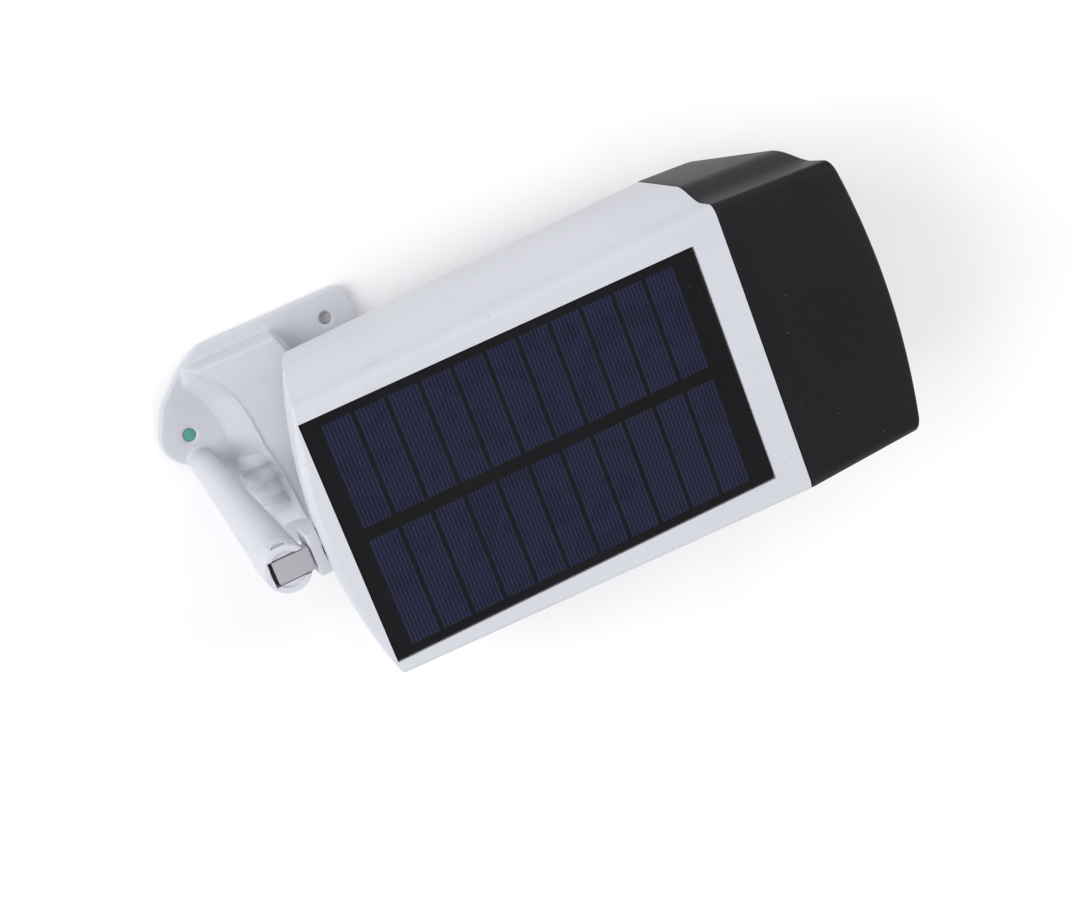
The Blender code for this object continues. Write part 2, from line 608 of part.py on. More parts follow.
def build_hinge():
    """The tongue that tilts in the head, and the flange that ties it to the rear wall."""
    top, bottom = TILT_HEIGHT + TONGUE_THICKNESS / 2, TILT_HEIGHT - TONGUE_THICKNESS / 2
    side, end = TONGUE_WIDTH / 2, FLANGE_REAR - GAP
    tongue = block("hinge_tongue", (-TONGUE_TAIL, -side, bottom), (end, side, top), "camera", GREY,
                   bevel=0.3 * MM)
    join(tongue, block("tongue_root", (TONGUE_ROOT_START, -side + 0.2 * MM, TILT_HEIGHT - TONGUE_ROOT),
                       (end - 0.1 * MM, side - 0.2 * MM, TILT_HEIGHT), "camera", bevel=0.4 * MM))
    cut(tongue, rod("tongue_bore", TILT_PIN_RADIUS + 0.1 * MM, (0, TONGUE_WIDTH, TILT_HEIGHT),
                    (0, -TONGUE_WIDTH, TILT_HEIGHT), "camera", sides=16))
    flange = block("hinge_flange", (FLANGE_REAR, -FLANGE_WIDTH / 2, FLANGE_BOTTOM),
                   (HOUSING_REAR + 20 * MM, FLANGE_WIDTH / 2, FLANGE_TOP), "camera", WHITE,
                   bevel=0.5 * MM)
    cut(flange, end_trim("flange_fit", rear_wall, -GAP, HOOD_SEAM))

    height = TILT_HEIGHT - TIE_SCREW_DROP
    inside = rear_wall(0, height) + WALL + GAP + 0.4 * MM
    thread = TIE_SCREW_RADIUS + GAP
    tip = TONGUE_ROOT_START + 1.2 * MM
    cut(tongue, rod("tongue_thread", thread, (tip - GAP, 0, height), (inside, 0, height), "camera",
                    sides=12))
    cut(flange, rod("flange_passage", thread, (end, 0, height), (inside, 0, height), "camera", sides=12))
    wall_screw("tongue_screw", 0, height, tip, inside)
    low = FLANGE_BOTTOM + 2.6 * MM
    for side, name in ((1, "left"), (-1, "right")):
        y = side * FLANGE_WIDTH * 0.29
        inside = rear_wall(y, low) + WALL + GAP + 0.5 * MM
        cut(flange, rod(f"flange_thread_{name}", thread, (FLANGE_REAR + MM, y, low), (inside, y, low),
                        "camera", sides=12))
        wall_screw(f"flange_screw_{name}", y, low, FLANGE_REAR + 1.4 * MM, inside)


def wall_screw(name, y, height, tip, seat):
    """A screw driven backwards from inside the casing through the rear wall."""
    screw = rod(name, TIE_HEAD_RADIUS, (seat, y, height), (seat + 1.2 * MM, y, height), "camera", STEEL,
                sides=12)
    join(screw, rod(f"{name}_shank", TIE_SCREW_RADIUS, (tip, y, height), (seat + MM / 2, y, height),
                    "camera", sides=12))
    rear_screws.append((y, height))


rear_screws = []


# ---------------------------------------------------------------- casing shells
def casing_cavity(name):
    """The hollow inside the casing, less the tray that carries the panel."""
    cavity = casing_block(name, HOUSING_REAR - 5 * MM, HOOD_SEAM + MM, WALL)
    cut(cavity, end_trim(f"{name}_rear", rear_wall, WALL, -40 * MM))
    low, high = panel_pocket(TRAY_WALL)
    cut(cavity, block(f"{name}_tray", (HOUSING_REAR, low[1], TRAY_UNDERSIDE), high, "camera"))
    return cavity


def panel_pocket(margin):
    """Corners of the panel's pocket, grown sideways by margin."""
    side = PANEL_WIDTH / 2 + GAP + margin
    low = (PANEL_REAR - GAP - margin, -side, POCKET_FLOOR)
    high = (PANEL_REAR + PANEL_LENGTH + GAP + margin, side, HOUSING_TOP + MM)
    return low, high


def build_upper_shell():
    shell = casing_block("upper_shell", HOUSING_REAR - 5 * MM, HOOD_SEAM - GAP / 2, 0, WHITE)
    cut(shell, end_trim("upper_rear", rear_wall, 0, -40 * MM), casing_cavity("upper_cavity"))
    low, high = panel_pocket(0)
    cut(shell, block("panel_pocket", low, high, "camera"))
    cut(shell, block("below_seam", (-40 * MM, -80 * MM, 0), (200 * MM, 80 * MM, SEAM_HEIGHT + GAP / 2),
                     "camera"))
    for i, (x, y) in enumerate(casing_screw_places()):
        roof = TRAY_UNDERSIDE + MM if x < high[0] else HOUSING_TOP - WALL / 2
        join(shell, rod(f"upper_boss_{i + 1}", BOSS_RADIUS, (x, y, SEAM_HEIGHT + GAP / 2), (x, y, roof),
                        "camera"))
        cut(shell, rod(f"upper_pilot_{i + 1}", SCREW_RADIUS + GAP, (x, y, SEAM_HEIGHT - MM),
                       (x, y, SEAM_HEIGHT + CASING_SCREW_LENGTH), "camera", sides=12))
    for i, (y, height) in enumerate(rear_screws):
        cut(shell, rod(f"rear_hole_{i + 1}", TIE_SCREW_RADIUS + GAP, (0, y, height), (40 * MM, y, height),
                       "camera", sides=12))
    x, y = lead_entry()
    cut(shell, rod("lead_hole", LEAD_RADIUS + 2 * GAP, (x, y, TRAY_UNDERSIDE - MM),
                   (x, y, POCKET_FLOOR + MM), "camera", sides=12))


def lead_entry():
    """Where the panel's lead comes through the tray."""
    return PANEL_REAR + PANEL_LENGTH * 0.72, PANEL_WIDTH / 2 - 8 * MM


def casing_screw_places():
    """Two screws close to the rear wall and two close behind the hood's spigot."""
    rear = rear_wall(CASING_SCREW_Y, HOUSING_BOTTOM) + WALL + BOSS_RADIUS + MM
    front = HOOD_SEAM - SPIGOT_LENGTH - BOSS_RADIUS - 3 * MM
    return [(x, side * CASING_SCREW_Y) for x in (rear, front) for side in (1, -1)]


def build_lower_shell():
    shell = casing_block("lower_shell", HOUSING_REAR - 5 * MM, HOOD_SEAM - GAP / 2, 0, WHITE)
    cut(shell, end_trim("lower_rear", rear_wall, 0, -40 * MM), casing_cavity("lower_cavity"))
    cut(shell, block("above_seam", (-40 * MM, -80 * MM, SEAM_HEIGHT - GAP / 2),
                     (200 * MM, 80 * MM, HOUSING_TOP + 20 * MM), "camera"))
    groove = WALL / 2
    cut(shell, prism("gasket_groove", side_strip(groove, 1.4 * MM), SEAM_HEIGHT - GAP / 2 - 1.0 * MM,
                     SEAM_HEIGHT + MM, "camera"))
    prism("casing_gasket", side_strip(groove, 0.8 * MM, 3 * GAP), SEAM_HEIGHT - GAP / 2 - 0.7 * MM,
          SEAM_HEIGHT - GAP / 2, "camera", RUBBER)
    for i, (x, y) in enumerate(casing_screw_places()):
        join(shell, rod(f"lower_boss_{i + 1}", BOSS_RADIUS, (x, y, HOUSING_BOTTOM + MM),
                        (x, y, SEAM_HEIGHT - GAP / 2), "camera"))
        seat = HOUSING_BOTTOM + CASING_HEAD_HEIGHT
        cut(shell, rod(f"lower_hole_{i + 1}", SCREW_RADIUS + GAP, (x, y, seat - MM),
                       (x, y, SEAM_HEIGHT + MM), "camera", sides=12))
        cut(shell, rod(f"head_well_{i + 1}", SCREW_HEAD_RADIUS + GAP, (x, y, HOUSING_BOTTOM - MM),
                       (x, y, seat), "camera", sides=16))
        screw = rod(f"casing_screw_{i + 1}", SCREW_HEAD_RADIUS, (x, y, seat - GAP - SCREW_HEAD_HEIGHT),
                    (x, y, seat - GAP), "camera", STEEL, sides=16)
        join(screw, rod(f"casing_shank_{i + 1}", SCREW_RADIUS, (x, y, seat - MM),
                        (x, y, seat + CASING_SCREW_LENGTH), "camera", sides=12))
        cross_recess(screw, f"casing_recess_{i + 1}", (x, y, seat - GAP - SCREW_HEAD_HEIGHT), 2)
    cut_speaker_holes(shell)
    cut_button_hole(shell)
    cut_flap_seat(shell)
    cut_board_posts(shell)


def side_strip(inset, width, short=0.0):
    """A strip along the casing's wall at the seam, open at the hood, as one outline."""
    outer = wall_path(inset - width / 2, short)
    inner = wall_path(inset + width / 2, short)
    return outer + inner[::-1]


def wall_path(inset, short):
    """The casing's outline at the seam, moved in: one side, the rear arc and the other side."""
    front = HOOD_SEAM + (-short if short else MM)
    half = []
    for i in range(6):
        y = rear_corner(inset) * i / 5
        half.append((rear_wall(y, SEAM_HEIGHT) + inset, y))
    half.append((front, casing_half_width(front) + LOWER_SWELL - inset))
    return [(x, -y) for x, y in reversed(half)] + half[1:]


def rear_corner(inset):
    """Y where the side wall meets the rear wall at the seam."""
    y = REAR_HALF_WIDTH + LOWER_SWELL - inset
    for _ in range(4):
        y = casing_half_width(rear_wall(y, SEAM_HEIGHT) + inset) + LOWER_SWELL - inset
    return y


def cross_recess(screw, name, centre, axis):
    """A cross cut into a screw's head, along axis 0 or 2."""
    size = Vector((SCREW_HEAD_RADIUS * 0.7,) * 3)
    for i, thin in enumerate([a for a in range(3) if a != axis]):
        reach = size.copy()
        reach[thin] = 0.35 * MM
        reach[axis] = 0.9 * MM
        cut(screw, block(f"{name}_{i + 1}", Vector(centre) - reach, Vector(centre) + reach, "camera"))


def cut_speaker_holes(shell):
    for ring, (radius, count) in enumerate(((0, 1), (4.2 * MM, 6), (8 * MM, 10))):
        for i in range(count):
            angle = 2 * pi * i / count
            x, y = SPEAKER_X + radius * cos(angle), radius * sin(angle)
            cut(shell, rod(f"speaker_hole_{ring}_{i + 1}", 0.9 * MM, (x, y, HOUSING_BOTTOM - MM),
                           (x, y, FLOOR_HEIGHT + MM), "camera", sides=8))


def cut_button_hole(shell):
    cut(shell, rod("button_hole", BUTTON_RADIUS + GAP, (BUTTON_X, 0, HOUSING_BOTTOM - MM),
                   (BUTTON_X, 0, FLOOR_HEIGHT + MM), "camera"))


def cut_flap_seat(shell):
    """A thicker floor, the flap's recess, its pin holes, a thumb scoop and the port's opening."""
    pin = PIVOTS["flap"]
    half = FLAP_WIDTH / 2
    low = Vector((FLAP_REAR - 3 * MM, -half - 3 * MM, HOUSING_BOTTOM + MM))
    high = Vector((FLAP_REAR + FLAP_LENGTH + 3 * MM, half + 3 * MM, FLOOR_HEIGHT + PAD_HEIGHT))
    join(shell, block("port_pad", low, high, "camera"))
    roof = HOUSING_BOTTOM + FLAP_THICKNESS + 2 * GAP
    cut(shell, block("flap_recess", (FLAP_REAR - GAP, -half - GAP, HOUSING_BOTTOM - MM),
                     (FLAP_REAR + FLAP_LENGTH + GAP, half + GAP, roof), "camera"))
    cut(shell, block("port_opening", (port_x() - PORT_LENGTH / 2, -PORT_WIDTH / 2, HOUSING_BOTTOM),
                     (port_x() + PORT_LENGTH / 2, PORT_WIDTH / 2, FLOOR_HEIGHT + PAD_HEIGHT + MM),
                     "camera"))
    reach = half + FLAP_PIN_LENGTH + 2 * GAP
    cut(shell, rod("flap_pin_holes", FLAP_PIN_RADIUS + 0.15 * MM, (pin.x, -reach, pin.z),
                   (pin.x, reach, pin.z), "camera", sides=12))
    tip = FLAP_REAR + FLAP_LENGTH
    cut(shell, rod("thumb_scoop", 4 * MM, (tip - MM, 0, HOUSING_BOTTOM - 0.01 * MM),
                   (tip - MM, 0, HOUSING_BOTTOM + 1.2 * MM), "camera", tip=3.2 * MM))


def port_x():
    """Middle of the charging port, ahead of the flap's hinge."""
    return FLAP_REAR + FLAP_LENGTH * 0.55


def cut_board_posts(shell):
    for i, (x, y) in enumerate(board_screw_places()):
        join(shell, rod(f"board_post_{i + 1}", 2.6 * MM, (x, y, FLOOR_HEIGHT - MM),
                        (x, y, MAIN_BOARD_HEIGHT - GAP), "camera", sides=16))
        cut(shell, rod(f"board_pilot_{i + 1}", SMALL_SCREW_RADIUS + GAP, (x, y, FLOOR_HEIGHT + 0.6 * MM),
                       (x, y, MAIN_BOARD_HEIGHT + MM), "camera", sides=12))


def board_screw_places():
    inset = 3.2 * MM
    front = main_board_rear() + MAIN_BOARD_LENGTH - inset
    side = MAIN_BOARD_WIDTH / 2 - inset
    return [(main_board_rear() + inset, side), (front, -side)]


# ---------------------------------------------------------------- hood and front
def build_hood():
    """A sleeve with slanting front edge, a thick ring inside and a spigot into the casing."""
    hood = hood_block("front_hood", HOOD_SEAM + GAP / 2, HOOD_FRONT + 5 * MM, 0, BLACK)
    cut(hood, end_trim("hood_front_trim", hood_edge, 0, HOOD_FRONT + 20 * MM))
    step = HOOD_SEAM + GAP + HOOD_STEP
    bore = WALL + GAP + SPIGOT_WALL
    cut(hood, hood_block("hood_mouth", step, HOOD_FRONT + 8 * MM, HOOD_WALL))
    spigot = casing_block("spigot", HOOD_SEAM - SPIGOT_LENGTH, HOOD_SEAM + 2 * MM, WALL + GAP)
    join(hood, spigot)
    for i, side in enumerate((1, -1)):
        y = side * BEZEL_SCREW_Y
        join(hood, rod(f"hood_boss_{i + 1}", BEZEL_BOSS_RADIUS,
                       (HOOD_SEAM - SPIGOT_LENGTH, y, BEZEL_SCREW_HEIGHT),
                       (step, y, BEZEL_SCREW_HEIGHT), "camera"))
    bosses = [rod(f"boss_keep_{i + 1}", BEZEL_BOSS_RADIUS,
                  (HOOD_SEAM - 2 * SPIGOT_LENGTH, side * BEZEL_SCREW_Y, BEZEL_SCREW_HEIGHT),
                  (step + MM, side * BEZEL_SCREW_Y, BEZEL_SCREW_HEIGHT), "camera")
              for i, side in enumerate((1, -1))]
    hollow = casing_block("hood_bore", HOOD_SEAM - SPIGOT_LENGTH - MM, HOOD_FRONT, bore)
    cut(hollow, *bosses)
    cut(hood, hollow)
    for i, side in enumerate((1, -1)):
        cut(hood, rod(f"bezel_pilot_{i + 1}", SMALL_SCREW_RADIUS + GAP,
                      (HOOD_SEAM - MM, side * BEZEL_SCREW_Y, BEZEL_SCREW_HEIGHT),
                      (step + MM, side * BEZEL_SCREW_Y, BEZEL_SCREW_HEIGHT), "camera", sides=12))


def build_bezel():
    """The front plate with its openings, and what is set into them."""
    bezel = hood_block("front_bezel", BEZEL_REAR, BEZEL_FRONT, HOOD_WALL + GAP, BLACK)
    seat = BEZEL_FRONT - WINDOW_THICKNESS - 2 * GAP
    front = BEZEL_FRONT + MM
    rear = BEZEL_REAR - MM
    cut(bezel, rod("lens_seat", LENS_WINDOW_RADIUS + GAP, (seat, 0, LENS_HEIGHT),
                   (front, 0, LENS_HEIGHT), "camera", sides=32))
    cut(bezel, rod("lens_opening", LENS_OPENING_RADIUS, (rear, 0, LENS_HEIGHT),
                   (front, 0, LENS_HEIGHT), "camera", sides=32))
    window = (seat + GAP, seat + GAP + WINDOW_THICKNESS)
    rod("lens_window", LENS_WINDOW_RADIUS, (window[0], 0, LENS_HEIGHT), (window[1], 0, LENS_HEIGHT),
        "camera", GLASS, sides=32)
    for side, name in ((1, "left"), (-1, "right")):
        y, z = side * LIGHT_Y, LIGHT_HEIGHT
        wide, tall = LIGHT_WIDTH / 2, LIGHT_LENGTH / 2
        cut(bezel, light_frame(f"light_seat_{name}", y, z, wide + GAP, tall + GAP, seat, front))
        cut(bezel, light_frame(f"light_opening_{name}", y, z, wide - LIGHT_LEDGE, tall - LIGHT_LEDGE,
                               rear, front))
        light_frame(f"light_window_{name}", y, z, wide, tall, *window, FROSTED)
    cut(bezel, rod("dome_opening", DOME_RADIUS + GAP, (rear, 0, DOME_HEIGHT), (front, 0, DOME_HEIGHT),
                   "camera", sides=24))
    cut(bezel, rod("pipe_opening", PIPE_RADIUS + GAP, (rear, PIPE_Y, DOME_HEIGHT),
                   (front, PIPE_Y, DOME_HEIGHT), "camera", sides=12))
    cut(bezel, rod("sound_opening", 0.6 * MM, (rear, -PIPE_Y, DOME_HEIGHT),
                   (front, -PIPE_Y, DOME_HEIGHT), "camera", sides=8))
    rod("light_pipe", PIPE_RADIUS, (LED_BOARD_FRONT + GAP, PIPE_Y, DOME_HEIGHT),
        (BEZEL_FRONT, PIPE_Y, DOME_HEIGHT), "camera", FROSTED, sides=12)
    dome_profile = dome_wall(DOME_RADIUS) + [(DOME_RADIUS, -BEZEL_THICKNESS - GAP)]
    dome_profile += [(DOME_RADIUS + DOME_FLANGE, -BEZEL_THICKNESS - GAP),
                     (DOME_RADIUS + DOME_FLANGE, -BEZEL_THICKNESS - GAP - DOME_WALL),
                     (DOME_RADIUS - DOME_WALL, -BEZEL_THICKNESS - GAP - DOME_WALL)]
    dome_profile += dome_wall(DOME_RADIUS - DOME_WALL)[::-1]
    turned("motion_dome", dome_profile, "camera", (BEZEL_FRONT, 0, DOME_HEIGHT), "X", FROSTED)
    for side, name in ((1, "left"), (-1, "right")):
        y = side * BEZEL_SCREW_Y
        cut(bezel, rod(f"bezel_hole_{name}", SMALL_SCREW_RADIUS + GAP, (rear, y, BEZEL_SCREW_HEIGHT),
                       (front, y, BEZEL_SCREW_HEIGHT), "camera", sides=12))
        cut(bezel, rod(f"bezel_well_{name}", SMALL_HEAD_RADIUS + GAP,
                       (BEZEL_REAR + 1.2 * MM, y, BEZEL_SCREW_HEIGHT),
                       (front, y, BEZEL_SCREW_HEIGHT), "camera", sides=16))
        head = BEZEL_REAR + 1.2 * MM + GAP
        screw = rod(f"bezel_screw_{name}", SMALL_HEAD_RADIUS, (head, y, BEZEL_SCREW_HEIGHT),
                    (head + 1.2 * MM, y, BEZEL_SCREW_HEIGHT), "camera", STEEL, sides=16)
        join(screw, rod(f"bezel_shank_{name}", SMALL_SCREW_RADIUS, (HOOD_SEAM, y, BEZEL_SCREW_HEIGHT),
                        (head + 0.6 * MM, y, BEZEL_SCREW_HEIGHT), "camera", sides=12))
        cross_recess(screw, f"bezel_recess_{name}", (head + 1.4 * MM, y, BEZEL_SCREW_HEIGHT), 0)


def dome_wall(radius):
    """Quarter circle of (radius, height) pairs from the crown to the rim."""
    return [(radius * sin(pi * i / 12), radius * cos(pi * i / 12)) for i in range(7)]


def light_frame(name, y, z, wide, tall, start, end, material=None):
    """A plate with rounded corners across the lens axis, between two X values."""
    corner = 3 * MM
    outline = []
    for cy, cz, turn in ((1, 1, 0), (-1, 1, 90), (-1, -1, 180), (1, -1, 270)):
        outline += arc((y + cy * (wide - corner), z + cz * (tall - corner)), corner, turn, turn + 90, 3)
    rings = [[(x, a, b) for a, b in outline] for x in (start, end)]
    return loft(name, rings, "camera", material)


def build_camera_module():
    """Lens barrel with two elements, on the board that carries the image sensor."""
    z = LENS_HEIGHT
    base = BARREL_REAR + 5 * MM
    half = BARREL_RADIUS + 0.5 * MM
    barrel = block("lens_barrel", (BARREL_REAR, -half, z - half), (base, half, z + half), "camera",
                   LENS_METAL)
    join(barrel, rod("barrel_tube", BARREL_RADIUS, (base - MM, 0, z), (BARREL_FRONT, 0, z), "camera",
                     sides=32))
    cut(barrel, rod("barrel_bore", BARREL_BORE, (BARREL_REAR + 2.5 * MM, 0, z),
                    (BARREL_FRONT + MM, 0, z), "camera", sides=24))
    cavity = SENSOR_SIZE / 2 + GAP
    cut(barrel, block("sensor_cavity", (BARREL_REAR - MM, -cavity, z - cavity),
                      (BARREL_REAR + 3 * MM, cavity, z + cavity), "camera"))
    glass = BARREL_BORE - GAP
    for name, middle, crown in (("lens_front_element", BARREL_FRONT - 2.6 * MM, 1.4 * MM),
                                ("lens_rear_element", BARREL_REAR + 8 * MM, 0.8 * MM)):
        turned(name, [(0, crown), (glass * 0.55, crown * 0.7), (glass, 0.2 * MM), (glass, -MM),
                      (0, -MM)], "camera", (middle, 0, z), "X", GLASS, steps=20)
    board = BARREL_REAR - GAP
    half = MODULE_SIZE / 2
    block("camera_board", (board - BOARD_THICKNESS, -half, z - half), (board, half, z + half), "camera",
          BOARD)
    half = SENSOR_SIZE / 2
    block("image_sensor", (board + GAP, -half, z - half), (board + GAP + MM, half, z + half), "camera",
          BLACK)


def build_light_board():
    """The board behind the bezel with its LEDs and the motion sensor."""
    board = block("led_board", (LED_BOARD_REAR, -31 * MM, DOME_HEIGHT - 6.5 * MM),
                  (LED_BOARD_FRONT, 31 * MM, LIGHT_HEIGHT + 16 * MM), "camera", BOARD)
    cut(board, rod("board_window", BARREL_RADIUS + 1.5 * MM, (LED_BOARD_REAR - MM, 0, LENS_HEIGHT),
                   (LED_BOARD_FRONT + MM, 0, LENS_HEIGHT), "camera"))
    half = LED_SIZE / 2
    start = LED_BOARD_FRONT + GAP
    for side, name in ((1, "left"), (-1, "right")):
        for i in range(LED_COUNT):
            z = LIGHT_HEIGHT + LED_PITCH * (i - (LED_COUNT - 1) / 2)
            y = side * LIGHT_Y
            block(f"led_{name}_{i + 1}", (start, y - half, z - half), (start + 1.4 * MM, y + half, z + half),
                  "camera", LIGHT)
    rod("motion_sensor", 4.3 * MM, (start, 0, DOME_HEIGHT), (start + 4.2 * MM, 0, DOME_HEIGHT), "camera",
        STEEL)


# ---------------------------------------------------------------- panel, power and electronics
def cell_rear():
    """X of the cells' rear ends: the holder stands a clearance ahead of the rear wall."""
    low = CELL_HEIGHT - CELL_RADIUS - GAP - HOLDER_WALL
    return rear_wall(holder_half_width(), low) + WALL + HOLDER_WALL + 2 * GAP


def cell_front():
    return cell_rear() + CELL_LENGTH


def holder_half_width():
    return 2 * (CELL_RADIUS + GAP) + CELL_WEB / 2 + HOLDER_WALL


def main_board_rear():
    """The main board starts a clearance ahead of the battery holder."""
    return cell_front() + HOLDER_WALL + 3 * GAP


def build_panel():
    side = PANEL_WIDTH / 2
    end = PANEL_REAR + PANEL_LENGTH
    block("solar_panel", (PANEL_REAR, -side, PANEL_TOP - PANEL_THICKNESS), (end, side, PANEL_TOP),
          "camera", PANEL)
    pad_top = PANEL_TOP - PANEL_THICKNESS - GAP
    pad = block("panel_pad", (PANEL_REAR + MM, -side + MM, pad_top - PAD_THICKNESS),
                (end - MM, side - MM, pad_top), "camera", RUBBER)
    x, y = lead_entry()
    cut(pad, rod("pad_hole", LEAD_RADIUS + 2 * GAP, (x, y, pad_top - 2 * MM), (x, y, pad_top + MM),
                 "camera", sides=12))


def build_power():
    """Two cells side by side in a cradle on four legs."""
    space = CELL_RADIUS + GAP
    offset = space + CELL_WEB / 2
    start, end = cell_rear(), cell_front()
    side = holder_half_width()
    low = CELL_HEIGHT - CELL_RADIUS - GAP - HOLDER_WALL
    rear, front = start - GAP - HOLDER_WALL, end + GAP + HOLDER_WALL
    holder = block("battery_holder", (rear, -side, low), (front, side, CELL_HEIGHT), "camera", BLACK)
    for i, sign in enumerate((1, -1)):
        y = sign * offset
        cut(holder, rod(f"cell_space_{i + 1}", space, (start - GAP, y, CELL_HEIGHT),
                        (end + GAP, y, CELL_HEIGHT), "camera", sides=24))
        rod(("battery_left", "battery_right")[i], CELL_RADIUS, (start, y, CELL_HEIGHT),
            (end, y, CELL_HEIGHT), "camera", CELL, sides=24)
        edge = sign * (side - LEG_SIZE / 2)
        rear_leg = rear_wall(side, FLOOR_HEIGHT) + WALL + 2 * GAP
        for k, x in enumerate((rear_leg, front - LEG_SIZE)):
            join(holder, block(f"holder_leg_{i}_{k}", (x, edge - LEG_SIZE / 2, FLOOR_HEIGHT + GAP),
                               (x + LEG_SIZE, edge + LEG_SIZE / 2, low + MM), "camera"))


def build_main_board():
    """The main board with its chips, and what is fixed to it."""
    low = MAIN_BOARD_HEIGHT
    high = low + BOARD_THICKNESS
    rear, front = main_board_rear(), main_board_rear() + MAIN_BOARD_LENGTH
    side = MAIN_BOARD_WIDTH / 2
    board = block("main_board", (rear, -side, low), (front, side, high), "camera", BOARD)
    chips = (("processor", 8, 8, 13, 13, 1.4), ("radio_can", 10, -14, 16, 14, 2.2),
             ("connector", 25, 16, 5, 9, 4.5), ("charger", 24, -4, 6, 6, 1.2))
    for name, x, y, length, width, height in chips:
        corner = Vector((rear + x * MM, y * MM, high - MM / 2))
        join(board, block(name, corner - Vector((length, width, 0)) * MM / 2,
                          corner + Vector((length, width, 2 * height + 1)) * MM / 2, "camera"))
    for i, (x, y) in enumerate(board_screw_places()):
        cut(board, rod(f"board_hole_{i + 1}", SMALL_SCREW_RADIUS + GAP, (x, y, low - MM), (x, y, high + MM),
                       "camera", sides=12))
        screw = rod(f"board_screw_{i + 1}", SMALL_HEAD_RADIUS, (x, y, high + GAP), (x, y, high + 1.4 * MM),
                    "camera", STEEL, sides=12)
        join(screw, rod(f"board_shank_{i + 1}", SMALL_SCREW_RADIUS, (x, y, low - 4 * MM), (x, y, high + MM),
                        "camera", sides=12))
    x = rear + 24 * MM
    block("memory_card", (x - 5.5 * MM, 3 * MM, high + GAP), (x + 5.5 * MM, 11 * MM, high + 1.2 * MM),
          "camera", BLACK)
    x = port_x()
    socket = block("charging_socket", (x - 1.7 * MM, -4.5 * MM, FLOOR_HEIGHT + 0.6 * MM),
                   (x + 1.7 * MM, 4.5 * MM, low - GAP), "camera", STEEL)
    cut(socket, block("socket_mouth", (x - 1.3 * MM, -4.1 * MM, FLOOR_HEIGHT),
                      (x + 1.3 * MM, 4.1 * MM, low - 2 * MM), "camera"))
    join(socket, block("socket_tongue", (x - 0.35 * MM, -3.3 * MM, FLOOR_HEIGHT + 1.4 * MM),
                       (x + 0.35 * MM, 3.3 * MM, low - MM), "camera"))
    stem = button_stem_top() + BUTTON_TRAVEL + GAP
    block("power_switch", (BUTTON_X - 3 * MM, -3 * MM, stem), (BUTTON_X + 3 * MM, 3 * MM, low - GAP),
          "camera", BLACK)


def button_stem_top():
    return FLOOR_HEIGHT + 3.4 * MM


def build_sound():
    rod("speaker", SPEAKER_RADIUS, (SPEAKER_X, 0, FLOOR_HEIGHT + GAP),
        (SPEAKER_X, 0, FLOOR_HEIGHT + GAP + SPEAKER_DEPTH), "camera", BLACK, sides=28)
    x = HOUSING_REAR + CASING_LENGTH * 0.45
    wall = casing_half_width(x) + LOWER_SWELL - WALL
    block("antenna", (x, wall - 2 * GAP - 0.4 * MM, SEAM_HEIGHT + 3 * MM),
          (x + 34 * MM, wall - 2 * GAP, SEAM_HEIGHT + 9 * MM), "camera", BOARD)


def build_button():
    """A push button with a flange inside the floor."""
    top = button_stem_top()
    stem, flange = 1.6 * MM, BUTTON_RADIUS + 1.2 * MM
    profile = [(0, top), (stem, top), (stem, FLOOR_HEIGHT + GAP + MM),
               (flange, FLOOR_HEIGHT + GAP + MM), (flange, FLOOR_HEIGHT + GAP),
               (BUTTON_RADIUS, FLOOR_HEIGHT + GAP), (BUTTON_RADIUS, HOUSING_BOTTOM + 0.5 * MM),
               (BUTTON_RADIUS - 0.4 * MM, HOUSING_BOTTOM + 0.1 * MM), (0, HOUSING_BOTTOM + 0.1 * MM)]
    turned("power_button", profile, "button", (BUTTON_X, 0, 0), material=RUBBER)


def build_flap():
    """A rubber flap that swings on two stub pins and plugs the charging port."""
    pin = PIVOTS["flap"]
    half = FLAP_WIDTH / 2
    thick = FLAP_THICKNESS / 2
    flap = block("port_flap", (pin.x, -half, pin.z - thick), (FLAP_REAR + FLAP_LENGTH, half, pin.z + thick),
                 "flap", RUBBER)
    join(flap, rod("flap_barrel", thick, (pin.x, -half, pin.z), (pin.x, half, pin.z), "flap", sides=16))
    reach = half + FLAP_PIN_LENGTH
    join(flap, rod("flap_pins", FLAP_PIN_RADIUS, (pin.x, -reach, pin.z), (pin.x, reach, pin.z), "flap",
                   sides=12))
    plug_long, plug_wide = PORT_LENGTH / 2 - 2 * GAP, PORT_WIDTH / 2 - GAP
    join(flap, block("flap_plug", (port_x() - plug_long, -plug_wide, pin.z),
                     (port_x() + plug_long, plug_wide, pin.z + thick + 0.8 * MM), "flap"))


def build_leads():
    """The wires between the panel, the cells, the camera module and the main board."""
    x, y = lead_entry()
    board = MAIN_BOARD_HEIGHT + BOARD_THICKNESS
    plug = (main_board_rear() + 25 * MM, 16 * MM, board + 4.8 * MM + LEAD_RADIUS)
    lead("panel_lead", [(x, y, POCKET_FLOOR - 0.4 * MM), (x, y, TRAY_UNDERSIDE - 8 * MM),
                        (x + 6 * MM, y, 50 * MM), (plug[0] - 1.5 * MM, plug[1] + 4 * MM, 38 * MM),
                        (plug[0] - 1.5 * MM, plug[1] + 2.5 * MM, plug[2])], LEAD_RADIUS, "camera", WIRE)
    end = cell_front() + 2 * GAP + HOLDER_WALL + LEAD_RADIUS
    lead("battery_lead", [(end, -4 * MM, CELL_HEIGHT - 2 * MM),
                          (end + 5 * MM, -4 * MM, CELL_HEIGHT - 5 * MM),
                          (plug[0] - 5 * MM, plug[1] - 8 * MM, 37 * MM),
                          (plug[0] - 1 * MM, plug[1] - 2.5 * MM, plug[2])], LEAD_RADIUS, "camera", WIRE)


